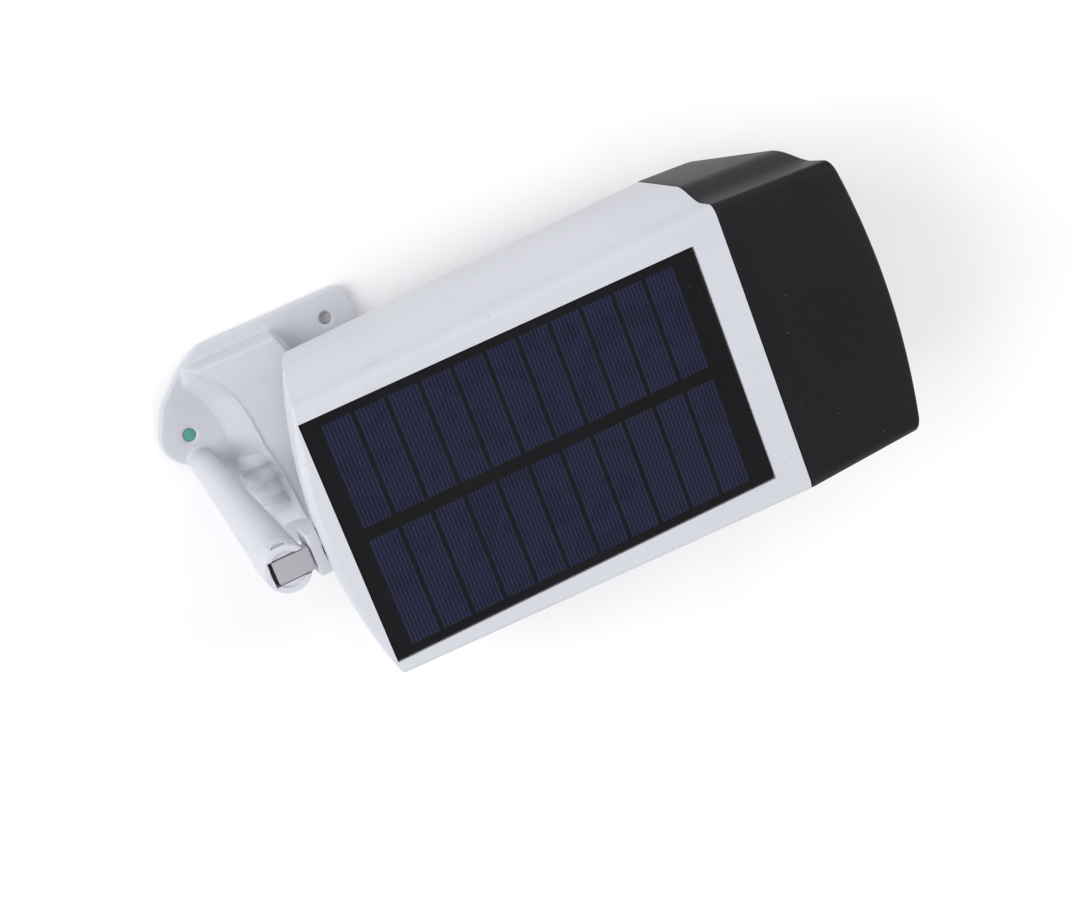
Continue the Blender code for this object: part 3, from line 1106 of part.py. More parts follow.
build_bracket()
build_swivel()
build_hinge()
build_upper_shell()
build_lower_shell()
build_hood()
build_bezel()
build_camera_module()
build_light_board()
build_panel()
build_power()
build_main_board()
build_sound()
build_button()
build_flap()
build_leads()
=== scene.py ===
"""Looks for the solar security camera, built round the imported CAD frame."""
import bmesh
import bpy
import json
import math
import numpy as np
from mathutils import Matrix, Vector


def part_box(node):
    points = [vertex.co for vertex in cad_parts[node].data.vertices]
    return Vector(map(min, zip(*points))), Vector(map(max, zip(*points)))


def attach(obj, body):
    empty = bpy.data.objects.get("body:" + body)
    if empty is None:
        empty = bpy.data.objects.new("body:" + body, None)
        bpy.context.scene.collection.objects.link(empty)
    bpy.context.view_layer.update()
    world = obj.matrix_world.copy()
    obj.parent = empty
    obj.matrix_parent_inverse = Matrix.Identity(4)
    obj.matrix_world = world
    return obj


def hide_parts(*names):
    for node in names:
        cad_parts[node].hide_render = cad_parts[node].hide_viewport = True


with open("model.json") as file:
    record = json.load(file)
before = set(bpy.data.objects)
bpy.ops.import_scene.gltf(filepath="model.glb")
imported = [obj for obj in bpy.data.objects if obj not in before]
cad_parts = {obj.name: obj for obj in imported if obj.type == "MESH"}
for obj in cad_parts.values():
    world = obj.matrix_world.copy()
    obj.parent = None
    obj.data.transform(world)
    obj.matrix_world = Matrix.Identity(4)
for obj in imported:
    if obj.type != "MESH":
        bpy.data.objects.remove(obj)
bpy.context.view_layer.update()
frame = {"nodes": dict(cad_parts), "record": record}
bpy.context.scene.view_settings.view_transform = "Standard"

MM = 0.001
QUARTER = math.pi / 2
FLAT_ANGLE = 12                    # degrees; under the 15 between a slab's face and its lip

# ---------------------------------------------------------------- sizes shared with the CAD
PAN_X, PAN_Y = next(j["pos_m"][:2] for j in frame["record"]["behaviour"]["joints"]
                    if j["name"] == "pan")
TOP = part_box("upper_shell")[1].z
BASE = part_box("lower_shell")[0].z
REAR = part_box("upper_shell")[0].x
GAP = 0.3 * MM
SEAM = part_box("upper_shell")[1].x + GAP / 2
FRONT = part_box("front_hood")[1].x
SEAM_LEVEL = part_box("upper_shell")[0].z
PANEL_LOW, PANEL_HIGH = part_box("solar_panel")
REAR_HALF_WIDTH = 35.5 * MM
FRONT_HALF_WIDTH = 39.5 * MM
HOOD_HALF_WIDTH = 37.5 * MM
UPPER_SWELL = 2.9 * MM
LOWER_SWELL = 7.0 * MM
EDGE_ROUND = 3.4 * MM
EDGE_DROP = 2.5 * MM
SHOULDER = (8 * MM, 22 * MM)
BOTTOM_RADIUS = 9 * MM
REAR_ARC = 120.6 * MM
HOOD_ARC = 208 * MM
WALL = 2.6 * MM
SPIGOT = 5.5 * MM
SPIGOT_WALL = 1.8 * MM
THICK_RING = 5.0 * MM
HOOD_WALL = 2.4 * MM
HOOD_LIP = 1.2 * MM                # radius of the hood's rounded front edge
SKIN_FOOT = SEAM_LEVEL - 0.2 * MM  # where the upper shell's skin ends, over the seam's gap
REAR_EDGE = (0.7 * MM, 2.4 * MM)   # least and greatest radius of the edge over the rear wall


# ---------------------------------------------------------------- sums on sockets
class Socket:
    """A socket of a material's node tree. Arithmetic on it adds Math nodes."""

    def __init__(self, tree, end):
        self.tree, self.end = tree, end

    def node(self, kind, output=0, settings=None, inputs=None):
        """Any node: its settings first, then a value or a link for each named socket."""
        made = self.tree.nodes.new("ShaderNode" + kind)
        for key, value in (settings or {}).items():
            setattr(made, key, value)
        for key, value in (inputs or {}).items():
            if isinstance(value, Socket):
                self.tree.links.new(value.end, made.inputs[key])
            else:
                made.inputs[key].default_value = value
        return Socket(self.tree, made.outputs[output])

    def maths(self, operation, *terms):
        return self.node("Math", 0, {"operation": operation}, dict(enumerate(terms)))

    def __add__(self, other):
        return self.maths("ADD", self, other)

    def __sub__(self, other):
        return self.maths("SUBTRACT", self, other)

    def __rsub__(self, other):
        return self.maths("SUBTRACT", other, self)

    def __mul__(self, other):
        return self.maths("MULTIPLY", self, other)

    def __lt__(self, other):
        return self.maths("LESS_THAN", self, other)

    def __gt__(self, other):
        return self.maths("GREATER_THAN", self, other)

    def __mod__(self, other):
        return self.maths("FLOORED_MODULO", self, other)

    def __abs__(self):
        return self.maths("ABSOLUTE", self)

    __radd__ = __add__
    __rmul__ = __mul__


def noise(place, scale, detail=2.0, roughness=0.5):
    return place.node("TexNoise", 0, None, {"Vector": place, "Scale": scale, "Detail": detail,
                                            "Roughness": roughness})


def cells(place, scale, output="Distance"):
    return place.node("TexVoronoi", output, None, {"Vector": place, "Scale": scale})


def stretched(place, scale, turn=(0, 0, 0)):
    return place.node("Mapping", 0, None, {"Vector": place, "Scale": scale, "Rotation": turn})


def ramp(value, low, high):
    """0 below low, 1 above high, and a smooth step between."""
    return value.node("MapRange", 0, {"interpolation_type": "SMOOTHSTEP"},
                      {"Value": value, "From Min": low, "From Max": high})


def blend(mask, first, second):
    """First colour where the mask is 0, second where it is 1."""
    def full(colour):
        return colour if isinstance(colour, Socket) else (*colour, 1.0)
    return mask.node("Mix", 2, {"data_type": "RGBA"}, {0: mask, 6: full(first), 7: full(second)})


def along(place, axis):
    return place.node("SeparateXYZ", axis, None, {"Vector": place})


def bump(height, distance, strength=1.0):
    return height.node("Bump", 0, None, {"Height": height, "Distance": distance,
                                         "Strength": strength})


def flecks(place, scale, size, share):
    """Round specks, one in some of the cells of a Voronoi pattern."""
    chosen = along(cells(place, scale, "Color"), 0) < share
    return chosen * (1 - ramp(cells(place, scale), size * 0.6, size))


def scratches(place, turn, share=0.62):
    """Fine straight lines, here and there."""
    lines = ramp(noise(stretched(place, (60, 2600, 60), turn), 1.0, 2.0), share, share + 0.08)
    return lines * ramp(noise(place, 45, 1.0), 0.55, 0.68)


def look(name, pattern, **fixed):
    """A material; the pattern gives what varies, and fixed gives the sockets that don't."""
    made = bpy.data.materials.new(name)
    made.use_nodes = True
    tree = made.node_tree
    shader = tree.nodes["Principled BSDF"]
    for key, value in fixed.items():
        shader.inputs[key.replace("_", " ")].default_value = value
    place = Socket(tree, tree.nodes.new("ShaderNodeTexCoord").outputs["Object"])
    for key, socket in pattern(place).items():
        tree.links.new(socket.end, shader.inputs[key])
    return made


# ---------------------------------------------------------------- finishes
def moulded(light, shade, dust, roughness, grain=1900.0, depth=0.012 * MM, dusty=0.25, worn=0.12,
            smudge=None):
    """Moulded plastic: tone drifts, fine grain, dust, a few hair scratches and handling smudges."""
    def pattern(place):
        drift = noise(place, 17, 3.0)
        fine = noise(place, grain, 3.0, 0.6)
        specks = flecks(place, 290, 0.09, dusty) + flecks(place, 760, 0.12, dusty * 0.7)
        marks = scratches(place, (0, 0, 0.5)) + scratches(place, (0, 0, -0.9), 0.66)
        tone = blend(ramp(drift, 0.35, 0.68), light, shade)
        tone = blend(fine * 0.10, tone, dust)
        tone = blend(specks * 0.55 + marks * worn, tone, dust)
        if smudge:
            handled = ramp(noise(place, 95, 5.0, 0.65), 0.60, 0.74)
            tone = blend(handled * 0.08, tone, smudge)
        return {"Base Color": tone,
                "Roughness": roughness - 0.05 + 0.1 * drift + 0.06 * marks + 0.2 * specks,
                "Normal": bump(fine + specks * 1.5 - marks * 0.3, depth)}
    return pattern


def metal(light, shade, roughness, streak=(40, 3200, 3200)):
    """Plated steel: fine drawn lines, clouded plating and small dark pits."""
    def pattern(place):
        lines = noise(stretched(place, streak), 1.0, 3.0)
        cloud = noise(place, 240, 3.0)
        pits = flecks(place, 1500, 0.15, 0.3)
        tone = blend(ramp(cloud, 0.35, 0.7), light, shade)
        tone = blend(pits * 0.6, tone, (0.12, 0.11, 0.10))
        return {"Base Color": tone,
                "Roughness": roughness + 0.14 * lines + 0.1 * cloud + 0.2 * pits,
                "Normal": bump(lines - pits, 0.006 * MM)}
    return pattern


CELL_PITCH = 9.46 * MM
CELL_START = PANEL_LOW.x + 4.9 * MM
CELL_WIDTH = 8.5 * MM
CELL_COUNT = 11
FINGER_COUNT = 8


def solar_cell(place):
    """Navy silicon: crystal patches in slightly different blues and fine collector lines."""
    inside = (along(place, 0) - CELL_START) % CELL_PITCH
    finger = abs((inside % (CELL_WIDTH / FINGER_COUNT)) - CELL_WIDTH / FINGER_COUNT / 2)
    lines = 1 - ramp(finger, 0.05 * MM, 0.13 * MM)
    patches = along(cells(place, 210, "Color"), 0)
    tone = blend(patches, (0.0055, 0.0065, 0.022), (0.0085, 0.010, 0.034))
    tone = blend(ramp(noise(place, 22, 2.0), 0.3, 0.7) * 0.5, tone, (0.011, 0.010, 0.028))
    tone = blend(lines * 0.5, tone, (0.050, 0.056, 0.090))
    return {"Base Color": tone, "Roughness": 0.24 + 0.12 * noise(place, 900, 2.0),
            "Normal": bump(lines + 0.3 * noise(place, 1400, 2.0), 0.01 * MM)}


def panel_back(place):
    """Black laminate seen through the clear resin: faint weave and trapped specks."""
    weave = noise(stretched(place, (2600, 2600, 200)), 1.0, 2.0)
    specks = flecks(place, 420, 0.07, 0.35)
    tone = blend(ramp(noise(place, 30, 2.0), 0.3, 0.7), (0.0026, 0.0026, 0.0036),
                 (0.0045, 0.0045, 0.0058))
    tone = blend(specks * 0.4 + weave * 0.015, tone, (0.16, 0.16, 0.17))
    return {"Base Color": tone, "Roughness": 0.22 + 0.16 * noise(place, 60, 3.0),
            "Normal": bump(weave + specks, 0.006 * MM)}


def rubber(place):
    """Matt rubber: pebbled skin, chalky bloom and dust."""
    pebble = cells(place, 2300)
    bloom = ramp(noise(place, 60, 4.0), 0.42, 0.7)
    specks = flecks(place, 520, 0.1, 0.4)
    tone = blend(bloom, (0.014, 0.014, 0.014), (0.036, 0.035, 0.034))
    return {"Base Color": blend(specks * 0.4, tone, (0.2, 0.19, 0.18)),
            "Roughness": 0.66 + 0.2 * bloom, "Normal": bump(pebble, 0.02 * MM)}


def lens_glass(place):
    """Coated glass: nearly clear, with a few wiping smears."""
    smear = ramp(noise(stretched(place, (50, 260, 60), (0.6, 0, 0)), 1.0, 3.0), 0.5, 0.75)
    specks = flecks(place, 700, 0.06, 0.25)
    tone = blend(smear * 0.3 + specks * 0.5, (0.88, 0.92, 0.97), (0.80, 0.82, 0.88))
    return {"Base Color": tone, "Roughness": 0.015 + 0.08 * smear + 0.3 * specks}


def diffuser(place):
    """Frosted plastic: milky, with a fine etched grain."""
    etch = noise(place, 3200, 3.0, 0.7)
    tone = blend(noise(place, 90, 3.0), (0.74, 0.75, 0.72), (0.86, 0.87, 0.85))
    return {"Base Color": blend(flecks(place, 420, 0.07, 0.3) * 0.4, tone, (0.4, 0.4, 0.38)),
            "Roughness": 0.42 + 0.2 * etch, "Normal": bump(etch, 0.012 * MM)}


def circuit_board(place):
    """Green solder mask over copper: lanes of traces, tinned pads and glass weave."""
    lane = (along(place, 1) % (0.8 * MM)) > 0.34 * MM
    region = ramp(noise(stretched(place, (130, 320, 130)), 1.0, 1.0), 0.44, 0.47)
    pads = flecks(place, 520, 0.26, 0.4)
    weave = noise(stretched(place, (3200, 3200, 3200)), 1.0, 1.0)
    tone = blend(lane * region, (0.012, 0.10, 0.045), (0.03, 0.20, 0.085))
    tone = blend(weave * 0.12, tone, (0.06, 0.2, 0.1))
    return {"Base Color": blend(pads, tone, (0.55, 0.53, 0.48)), "Metallic": pads * 0.85,
            "Roughness": 0.4 - 0.12 * pads + 0.1 * weave,
            "Normal": bump(lane * region + 2 * pads, 0.02 * MM)}


CELL_LOW, CELL_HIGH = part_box("battery_left")


def battery_sleeve(place):
    """Blue shrink sleeve with soft wrinkles near its ends, and bare steel past them."""
    x = along(place, 0)
    rim = ramp(abs(x - (CELL_LOW.x + CELL_HIGH.x) / 2), (CELL_HIGH.x - CELL_LOW.x) / 2 - 1.3 * MM,
               (CELL_HIGH.x - CELL_LOW.x) / 2 - 1.0 * MM)
    wrinkle = noise(stretched(place, (30, 420, 420)), 1.0, 2.0)
    tone = blend(noise(place, 40, 2.0), (0.02, 0.13, 0.42), (0.05, 0.21, 0.55))
    return {"Base Color": blend(rim, tone, (0.62, 0.62, 0.60)), "Metallic": rim,
            "Roughness": 0.3 + 0.15 * wrinkle, "Normal": bump(wrinkle, 0.05 * MM)}


def turned_metal(place):
    """Black anodised barrel: knurl rings along the optical axis, worn bright here and there."""
    rings = abs((along(place, 0) % (0.7 * MM)) - 0.35 * MM) * 2800.0
    wear = ramp(noise(place, 300, 4.0), 0.58, 0.75)
    tone = blend(wear * 0.5, (0.014, 0.014, 0.015), (0.20, 0.19, 0.18))
    return {"Base Color": tone, "Roughness": 0.34 + 0.2 * wear, "Normal": bump(rings, 0.06 * MM)}


def phosphor(place):
    """Yellow phosphor gel with grains in it."""
    grains = cells(place, 5200)
    tone = blend(noise(place, 1500, 3.0), (0.84, 0.56, 0.04), (0.92, 0.74, 0.16))
    return {"Base Color": blend(grains * 0.4, tone, (0.95, 0.85, 0.4)),
            "Roughness": 0.3 + 0.25 * grains, "Normal": bump(grains, 0.02 * MM)}


def insulation(place):
    """Red PVC: a slow drift of tone and dull patches."""
    dull = ramp(noise(place, 260, 3.0), 0.45, 0.7)
    tone = blend(dull, (0.52, 0.018, 0.012), (0.34, 0.015, 0.012))
    return {"Base Color": tone, "Roughness": 0.32 + 0.2 * dull,
            "Normal": bump(noise(place, 2400, 2.0), 0.01 * MM)}


LOOKS = {
    "white_plastic": look("white_plastic", moulded((0.575, 0.585, 0.64), (0.55, 0.56, 0.615),
                                                   (0.30, 0.29, 0.30), 0.40,
                                                   smudge=(0.26, 0.23, 0.20))),
    "black_plastic": look("black_plastic", moulded((0.0075, 0.0075, 0.0095), (0.0105, 0.0105, 0.013),
                                                   (0.07, 0.07, 0.075), 0.40, 2300.0, 0.02 * MM, 0.22, 0.04),
                          Specular_IOR_Level=0.12),
    # Painted shade: a darkened copy of the white plastic, toned to the bracket's shaded hinge tab.
    "grey_plastic": look("grey_plastic", moulded((0.375, 0.355, 0.40), (0.33, 0.315, 0.36),
                                                 (0.2, 0.19, 0.2), 0.44)),
    "solar_cells": look("panel_laminate", panel_back, Coat_Weight=0.5, Coat_Roughness=0.06,
                        Specular_IOR_Level=0.0),
    "teal_plastic": look("teal_plastic", moulded((0.085, 0.35, 0.285), (0.06, 0.27, 0.22),
                                                 (0.3, 0.42, 0.4), 0.46)),
    "steel": look("zinc_plate", metal((0.62, 0.62, 0.63), (0.48, 0.485, 0.50), 0.24), Metallic=1.0),
    "black_rubber": look("black_rubber", rubber),
    "clear_glass": look("coated_glass", lens_glass, Transmission_Weight=1.0, IOR=1.45),
    "frosted_plastic": look("frosted_plastic", diffuser, Transmission_Weight=0.45, IOR=1.49),
    "circuit_board": look("solder_mask", circuit_board),
    "battery_sleeve": look("shrink_sleeve", battery_sleeve),
    "lens_metal": look("anodised_barrel", turned_metal, Metallic=0.6),
    "led_phosphor": look("led_gel", phosphor, Coat_Weight=0.6),
    "wire_insulation": look("red_insulation", insulation),
}
CELL_LOOK = look("silicon_cell", solar_cell, Coat_Weight=0.5, Coat_Roughness=0.05,
                 Specular_IOR_Level=0.0)
SLOTS = {part["node"]: part["material_slot"] for part in frame["record"]["subparts"]}
BODIES = {node: body for body, nodes in frame["record"]["behaviour"]["bodies"].items()
          for node in nodes}


# ---------------------------------------------------------------- meshes from arrays
def quads(rows, columns, wrap_rows=False, wrap_columns=False):
    """Corners of each quad of a grid of points, as row * columns + column."""
    r = np.arange(rows if wrap_rows else rows - 1)[:, None]
    c = np.arange(columns if wrap_columns else columns - 1)[None, :]
    up, right = (r + 1) % rows, (c + 1) % columns
    corners = [r * columns + c, r * columns + right, up * columns + right, up * columns + c]
    return np.stack(corners, -1).reshape(-1, 4)


def tidy(mesh, flatten=False):
    """Closes seams and poles, drops empty faces and turns every face outwards."""
    shape = bmesh.new()
    shape.from_mesh(mesh)
    bmesh.ops.remove_doubles(shape, verts=shape.verts, dist=0.000002)
    bmesh.ops.dissolve_degenerate(shape, edges=shape.edges, dist=0.000002)
    if flatten:
        bmesh.ops.dissolve_limit(shape, angle_limit=math.radians(0.4), verts=shape.verts,
                                 edges=shape.edges)
    bmesh.ops.recalc_face_normals(shape, faces=shape.faces)
    shape.to_mesh(mesh)
    shape.free()
    return mesh


def show(name, mesh, nodes, material=None, angle=38, bevel=0.0, segments=2):
    """The finished piece that stands for CAD nodes: it rides with them and takes their slot."""
    mesh.shade_smooth()
    mesh.set_sharp_from_angle(angle=math.radians(angle))
    made = bpy.data.objects.new(name, mesh)
    bpy.context.scene.collection.objects.link(made)
    mesh.materials.clear()
    mesh.materials.append(material or LOOKS[SLOTS[nodes[0]]])
    if bevel:
        step = made.modifiers.new("soft_edges", "BEVEL")
        step.width, step.segments = bevel, segments
        step.limit_method, step.angle_limit = "ANGLE", math.radians(34)
        step.harden_normals = True
    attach(made, BODIES[nodes[0]])
    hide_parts(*nodes)
    return made


def surface(name, points, faces, nodes, **settings):
    mesh = bpy.data.meshes.new(name)
    mesh.from_pydata(points.reshape(-1, 3), [], faces)
    return show(name, tidy(mesh), nodes, **settings)


def refined(node, bevel=0.25 * MM, **settings):
    """A CAD node's own shape with its triangles merged and its edges rounded."""
    mesh = tidy(frame["nodes"][node].data.copy(), flatten=True)
    return show(f"{node}_moulding", mesh, [node], bevel=bevel, **settings)


def revolved(profile, centre, axis, steps=48):
    """Points of a profile turned about an axis: centre + distance * axis + radius * (cos, sin)."""
    profile = np.array(profile, float)
    axis = np.array(axis, float)
    side = np.cross(axis, (0.0, 1.0, 0.0) if abs(axis[1]) < 0.5 else (0.0, 0.0, 1.0))
    up = np.cross(axis, side)
    turn = np.linspace(0, 2 * math.pi, steps, endpoint=False)
    circle = np.cos(turn)[:, None] * side + np.sin(turn)[:, None] * up
    points = np.array(centre) + profile[:, :1, None] * axis + profile[:, 1:, None] * circle
    return points, quads(len(profile), steps, wrap_columns=True)


def slab(low, high, corner, lip, axis=2, steps=6):
    """A plate with round corners; both its faces' edges are rounded by a quarter circle of lip."""
    low, high = np.array(low, float), np.array(high, float)
    flat = [i for i in range(3) if i != axis]
    turn = (np.arange(4)[:, None] * QUARTER + np.linspace(0, QUARTER, steps)[None, :])
    signs = np.array([(1, 1), (-1, 1), (-1, -1), (1, -1)])
    round_off = np.linspace(0, QUARTER, 4)
    insets = np.concatenate([lip * (1 - np.sin(round_off)), lip * (1 - np.cos(round_off))])
    levels = np.concatenate([low[axis] + lip * (1 - np.cos(round_off)),
                             high[axis] - lip * (1 - np.sin(round_off))])
    middle, half = (low + high)[flat] / 2, (high - low)[flat] / 2
    hub = (half - corner) * signs
    radius = corner - insets
    ring_a = hub[None, :, None, 0] + radius[:, None, None] * np.cos(turn)[None]
    ring_b = hub[None, :, None, 1] + radius[:, None, None] * np.sin(turn)[None]
    count = 4 * steps
    points = np.empty((len(levels), count, 3))
    points[..., flat[0]] = middle[0] + ring_a.reshape(len(levels), count)
    points[..., flat[1]] = middle[1] + ring_b.reshape(len(levels), count)
    points[..., axis] = levels[:, None]
    faces = quads(len(levels), count, wrap_columns=True).tolist()
    last = (len(levels) - 1) * count
    return points, faces + [list(range(count)), list(range(last, last + count))]


# ---------------------------------------------------------------- the housing's outer shape
def casing_half_width(x):
    return REAR_HALF_WIDTH + (FRONT_HALF_WIDTH - REAR_HALF_WIDTH) * (x - REAR) / (SEAM - REAR)


def hood_half_width(x):
    return FRONT_HALF_WIDTH + (HOOD_HALF_WIDTH - FRONT_HALF_WIDTH) * (x - SEAM) / (FRONT - SEAM)


def rear_wall(y, z):
    """X of the rear wall: an arc across, and a parabola that leans forward going down."""
    depth = (TOP - z) / MM
    lean = 0.08 * depth + 0.0019 * np.maximum(depth, 0) ** 2
    return REAR + REAR_ARC - np.sqrt(REAR_ARC ** 2 - y ** 2) + lean * MM


def hood_edge(y, z):
    """X of the hood's front edge: an arc across, and a parabola that falls back going down."""
    depth = (TOP - z) / MM
    lean = 0.147 * depth + 0.00366 * np.maximum(depth, 0) ** 2
    return FRONT - HOOD_ARC + np.sqrt(HOOD_ARC ** 2 - y ** 2) - lean * MM


def side_columns():
    """Columns of the cross-section from the top edge to the bottom's flat.

    Each is (share, fixed, offset, pull, level, drop): y = fixed + share * (half width + offset
    - pull * inset) and z = level - drop * inset. The top edge is a quarter ellipse, the shoulder
    a half cosine and the bottom edge a quarter circle.
    """
    turn = np.linspace(0, QUARTER, 9)
    edge = [(1, 0, UPPER_SWELL - EDGE_ROUND * (1 - math.sin(a)), 1,
             TOP - EDGE_DROP * (1 - math.cos(a)), 1) for a in turn]
    depth = np.linspace(SHOULDER[0], SHOULDER[1], 13)
    swell = UPPER_SWELL + (LOWER_SWELL - UPPER_SWELL) * (
        1 - np.cos(math.pi * (depth - SHOULDER[0]) / (SHOULDER[1] - SHOULDER[0]))) / 2
    shoulder = [(1, 0, s, 1, TOP - d, 0) for s, d in zip(swell, depth)]
    bottom = [(1, 0, LOWER_SWELL - BOTTOM_RADIUS * (1 - math.cos(a)), math.cos(a),
               BASE + BOTTOM_RADIUS * (1 - math.sin(a)), -math.sin(a)) for a in turn]
    return edge + shoulder, bottom


def mirrored(half):
    """Columns from the middle out to one side, then the whole row from side to side."""
    half = np.array(half, float)
    other = half[::-1].copy()
    other[:, :2] *= -1
    return np.concatenate([other, half[1:]])


def spread(columns, half_width, inset):
    """Y and z of a row of columns, for one inset and a half width for each column."""
    share, fixed, offset, pull, level, drop = columns.T
    y = fixed + share * (half_width + offset - pull * inset)
    return y, level - drop * inset


def settle(columns, inset, half_width, surface_x, shift):
    """A row that lies on an end surface: x, y and z are found together in a few rounds."""
    x = np.full(len(columns), (REAR + SEAM) / 2)
    for _ in range(5):
        y, z = spread(columns, half_width(x), inset)
        x = surface_x(y, z) + shift
    return x, y, z


PANEL_SIDE = (PANEL_HIGH.y - PANEL_LOW.y) / 2 + GAP
POCKET_REAR = PANEL_LOW.x - GAP
POCKET_FRONT = PANEL_HIGH.x + GAP
POCKET_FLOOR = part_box("panel_pad")[0].z - GAP
TRAY_UNDERSIDE = POCKET_FLOOR - 2 * MM


def upper_skin(inset):
    """Rows of the upper shell's skin, from the hood to the rear wall and down it.

    Outside, the top dips into the panel's pocket and the rear edge is rounded by a quarter
    circle, tighter towards the corners. Inside, the roof is one flat face under the pocket.
    """
    inside = inset > 0
    reach = PANEL_SIDE - (inset + 2 * MM if inside else 0)
    top = [(0, y, 0, 0, TOP, 1) for y in np.linspace(0, reach, 15)]
    half = top + [(0, reach, 0, 0, TOP, 1)] + side_columns()[0]
    half.append((1, 0, LOWER_SWELL, 1, SKIN_FOOT, 0))
    columns = mirrored(half)
    dips = (columns[:, 0] == 0) & (np.arange(len(columns)) > len(half) - 1 - len(top)) & (
        np.arange(len(columns)) < len(half) - 1 + len(top))
    rows = []

    def add(x, y, z):
        if inside:
            z = np.minimum(z, TRAY_UNDERSIDE)
        rows.append(np.stack([x, y, z], -1))

    def at(x, dipped=False):
        y, z = spread(columns, casing_half_width(x), inset)
        if dipped and not inside:
            z = np.where(dips, POCKET_FLOOR, z)
        add(x, y, z)

    corner = np.clip(POCKET_REAR - rear_wall(columns[:, 1], TOP) - GAP, *REAR_EDGE)
    corner = np.where(columns[:, 0] == 0, corner, REAR_EDGE[0])
    start = settle(columns, inset, casing_half_width, rear_wall, corner + inset)[0]
    rear = np.maximum(POCKET_REAR, start + 0.1 * MM)
    at(np.full(len(columns), SEAM - GAP / 2))
    at(np.full(len(columns), POCKET_FRONT))
    for share in (0, 0.25, 0.5, 0.75, 1):
        at(POCKET_FRONT + (rear - POCKET_FRONT) * share, dipped=True)
    at(rear)
    for turn in np.linspace(0, QUARTER, 7):
        row_inset = inset + (0 if inside else 1) * corner * (1 - math.cos(turn))
        shift = inset + corner * (1 - math.sin(turn))
        add(*settle(columns, row_inset, casing_half_width, rear_wall, shift))
    last = rows[-1]
    foot = last[0, 1] * np.linspace(1, -1, len(columns)) * 0.3 + 0.7 * last[:, 1]
    for share in np.linspace(0.1, 1, 10):
        y = last[:, 1] + (foot - last[:, 1]) * share
        z = last[:, 2] + (SKIN_FOOT - last[:, 2]) * share
        add(rear_wall(y, z) + inset, y, z)
    points = np.array(rows)
    points[..., 1] += PAN_Y
    return points


def rim(rows, columns):
    """Indices round a grid's edge, once."""
    grid = np.arange(rows * columns).reshape(rows, columns)
    return np.concatenate([grid[0, :-1], grid[:-1, -1], grid[-1, :0:-1], grid[:0:-1, 0]])


def build_upper_shell():
    outer, inner = upper_skin(0.0), upper_skin(WALL)
    rows, columns = outer.shape[:2]
    count = rows * columns
    edge = rim(rows, columns)
    joint = np.stack([edge, np.roll(edge, -1), np.roll(edge, -1) + count, edge + count], -1)
    faces = np.concatenate([quads(rows, columns), quads(rows, columns)[:, ::-1] + count, joint])
    return surface("casing_top", np.concatenate([outer, inner]), faces, ["upper_shell"],
                   bevel=0.12 * MM)


def build_hood():
    """The hood as one closed sleeve: spigot, outside, rounded front lip, inside and back."""
    upper, bottom = side_columns()
    top = [(share, 0, UPPER_SWELL - EDGE_ROUND, 1, TOP, 1) for share in np.linspace(0, 0.94, 12)]
    under = [(share, 0, LOWER_SWELL - BOTTOM_RADIUS, 0, BASE, -1)
             for share in np.linspace(0.94, 0, 12)]
    columns = mirrored(top + upper + bottom + under)
    rows = []

    def straight(x, inset, half_width):
        x = np.full(len(columns), x)
        rows.append(np.stack([x, *spread(columns, half_width(x), inset)], -1))

    face = SEAM + GAP / 2
    straight(SEAM - SPIGOT, WALL + GAP + 0.4 * MM, casing_half_width)
    straight(SEAM - SPIGOT + 0.4 * MM, WALL + GAP, casing_half_width)
    straight(face, WALL + GAP, casing_half_width)
    for turn in np.linspace(0, QUARTER, 4):
        straight(face + 0.5 * MM * (1 - math.cos(turn)), 0.5 * MM * (1 - math.sin(turn)),
                 hood_half_width)
    front = settle(columns, 0, hood_half_width, hood_edge, -HOOD_LIP)[0]
    for share in (0.25, 0.5, 0.75):
        x = face + (front - face) * share
        rows.append(np.stack([x, *spread(columns, hood_half_width(x), 0)], -1))
    for turn in np.linspace(0, 2 * QUARTER, 11):
        rows.append(np.stack(settle(columns, HOOD_LIP * (1 - math.cos(turn)), hood_half_width,
                                    hood_edge, HOOD_LIP * math.sin(turn) - HOOD_LIP), -1))
    straight(SEAM + THICK_RING, HOOD_WALL, hood_half_width)
    straight(SEAM + THICK_RING, WALL + GAP + SPIGOT_WALL, hood_half_width)
    straight(SEAM - SPIGOT, WALL + GAP + SPIGOT_WALL, casing_half_width)
    points = np.array(rows)
    points[..., 1] += PAN_Y
    points = points[:, :-1]
    faces = quads(len(rows), len(columns) - 1, wrap_rows=True, wrap_columns=True)
    return surface("hood_sleeve", points, faces, ["front_hood"], angle=50)


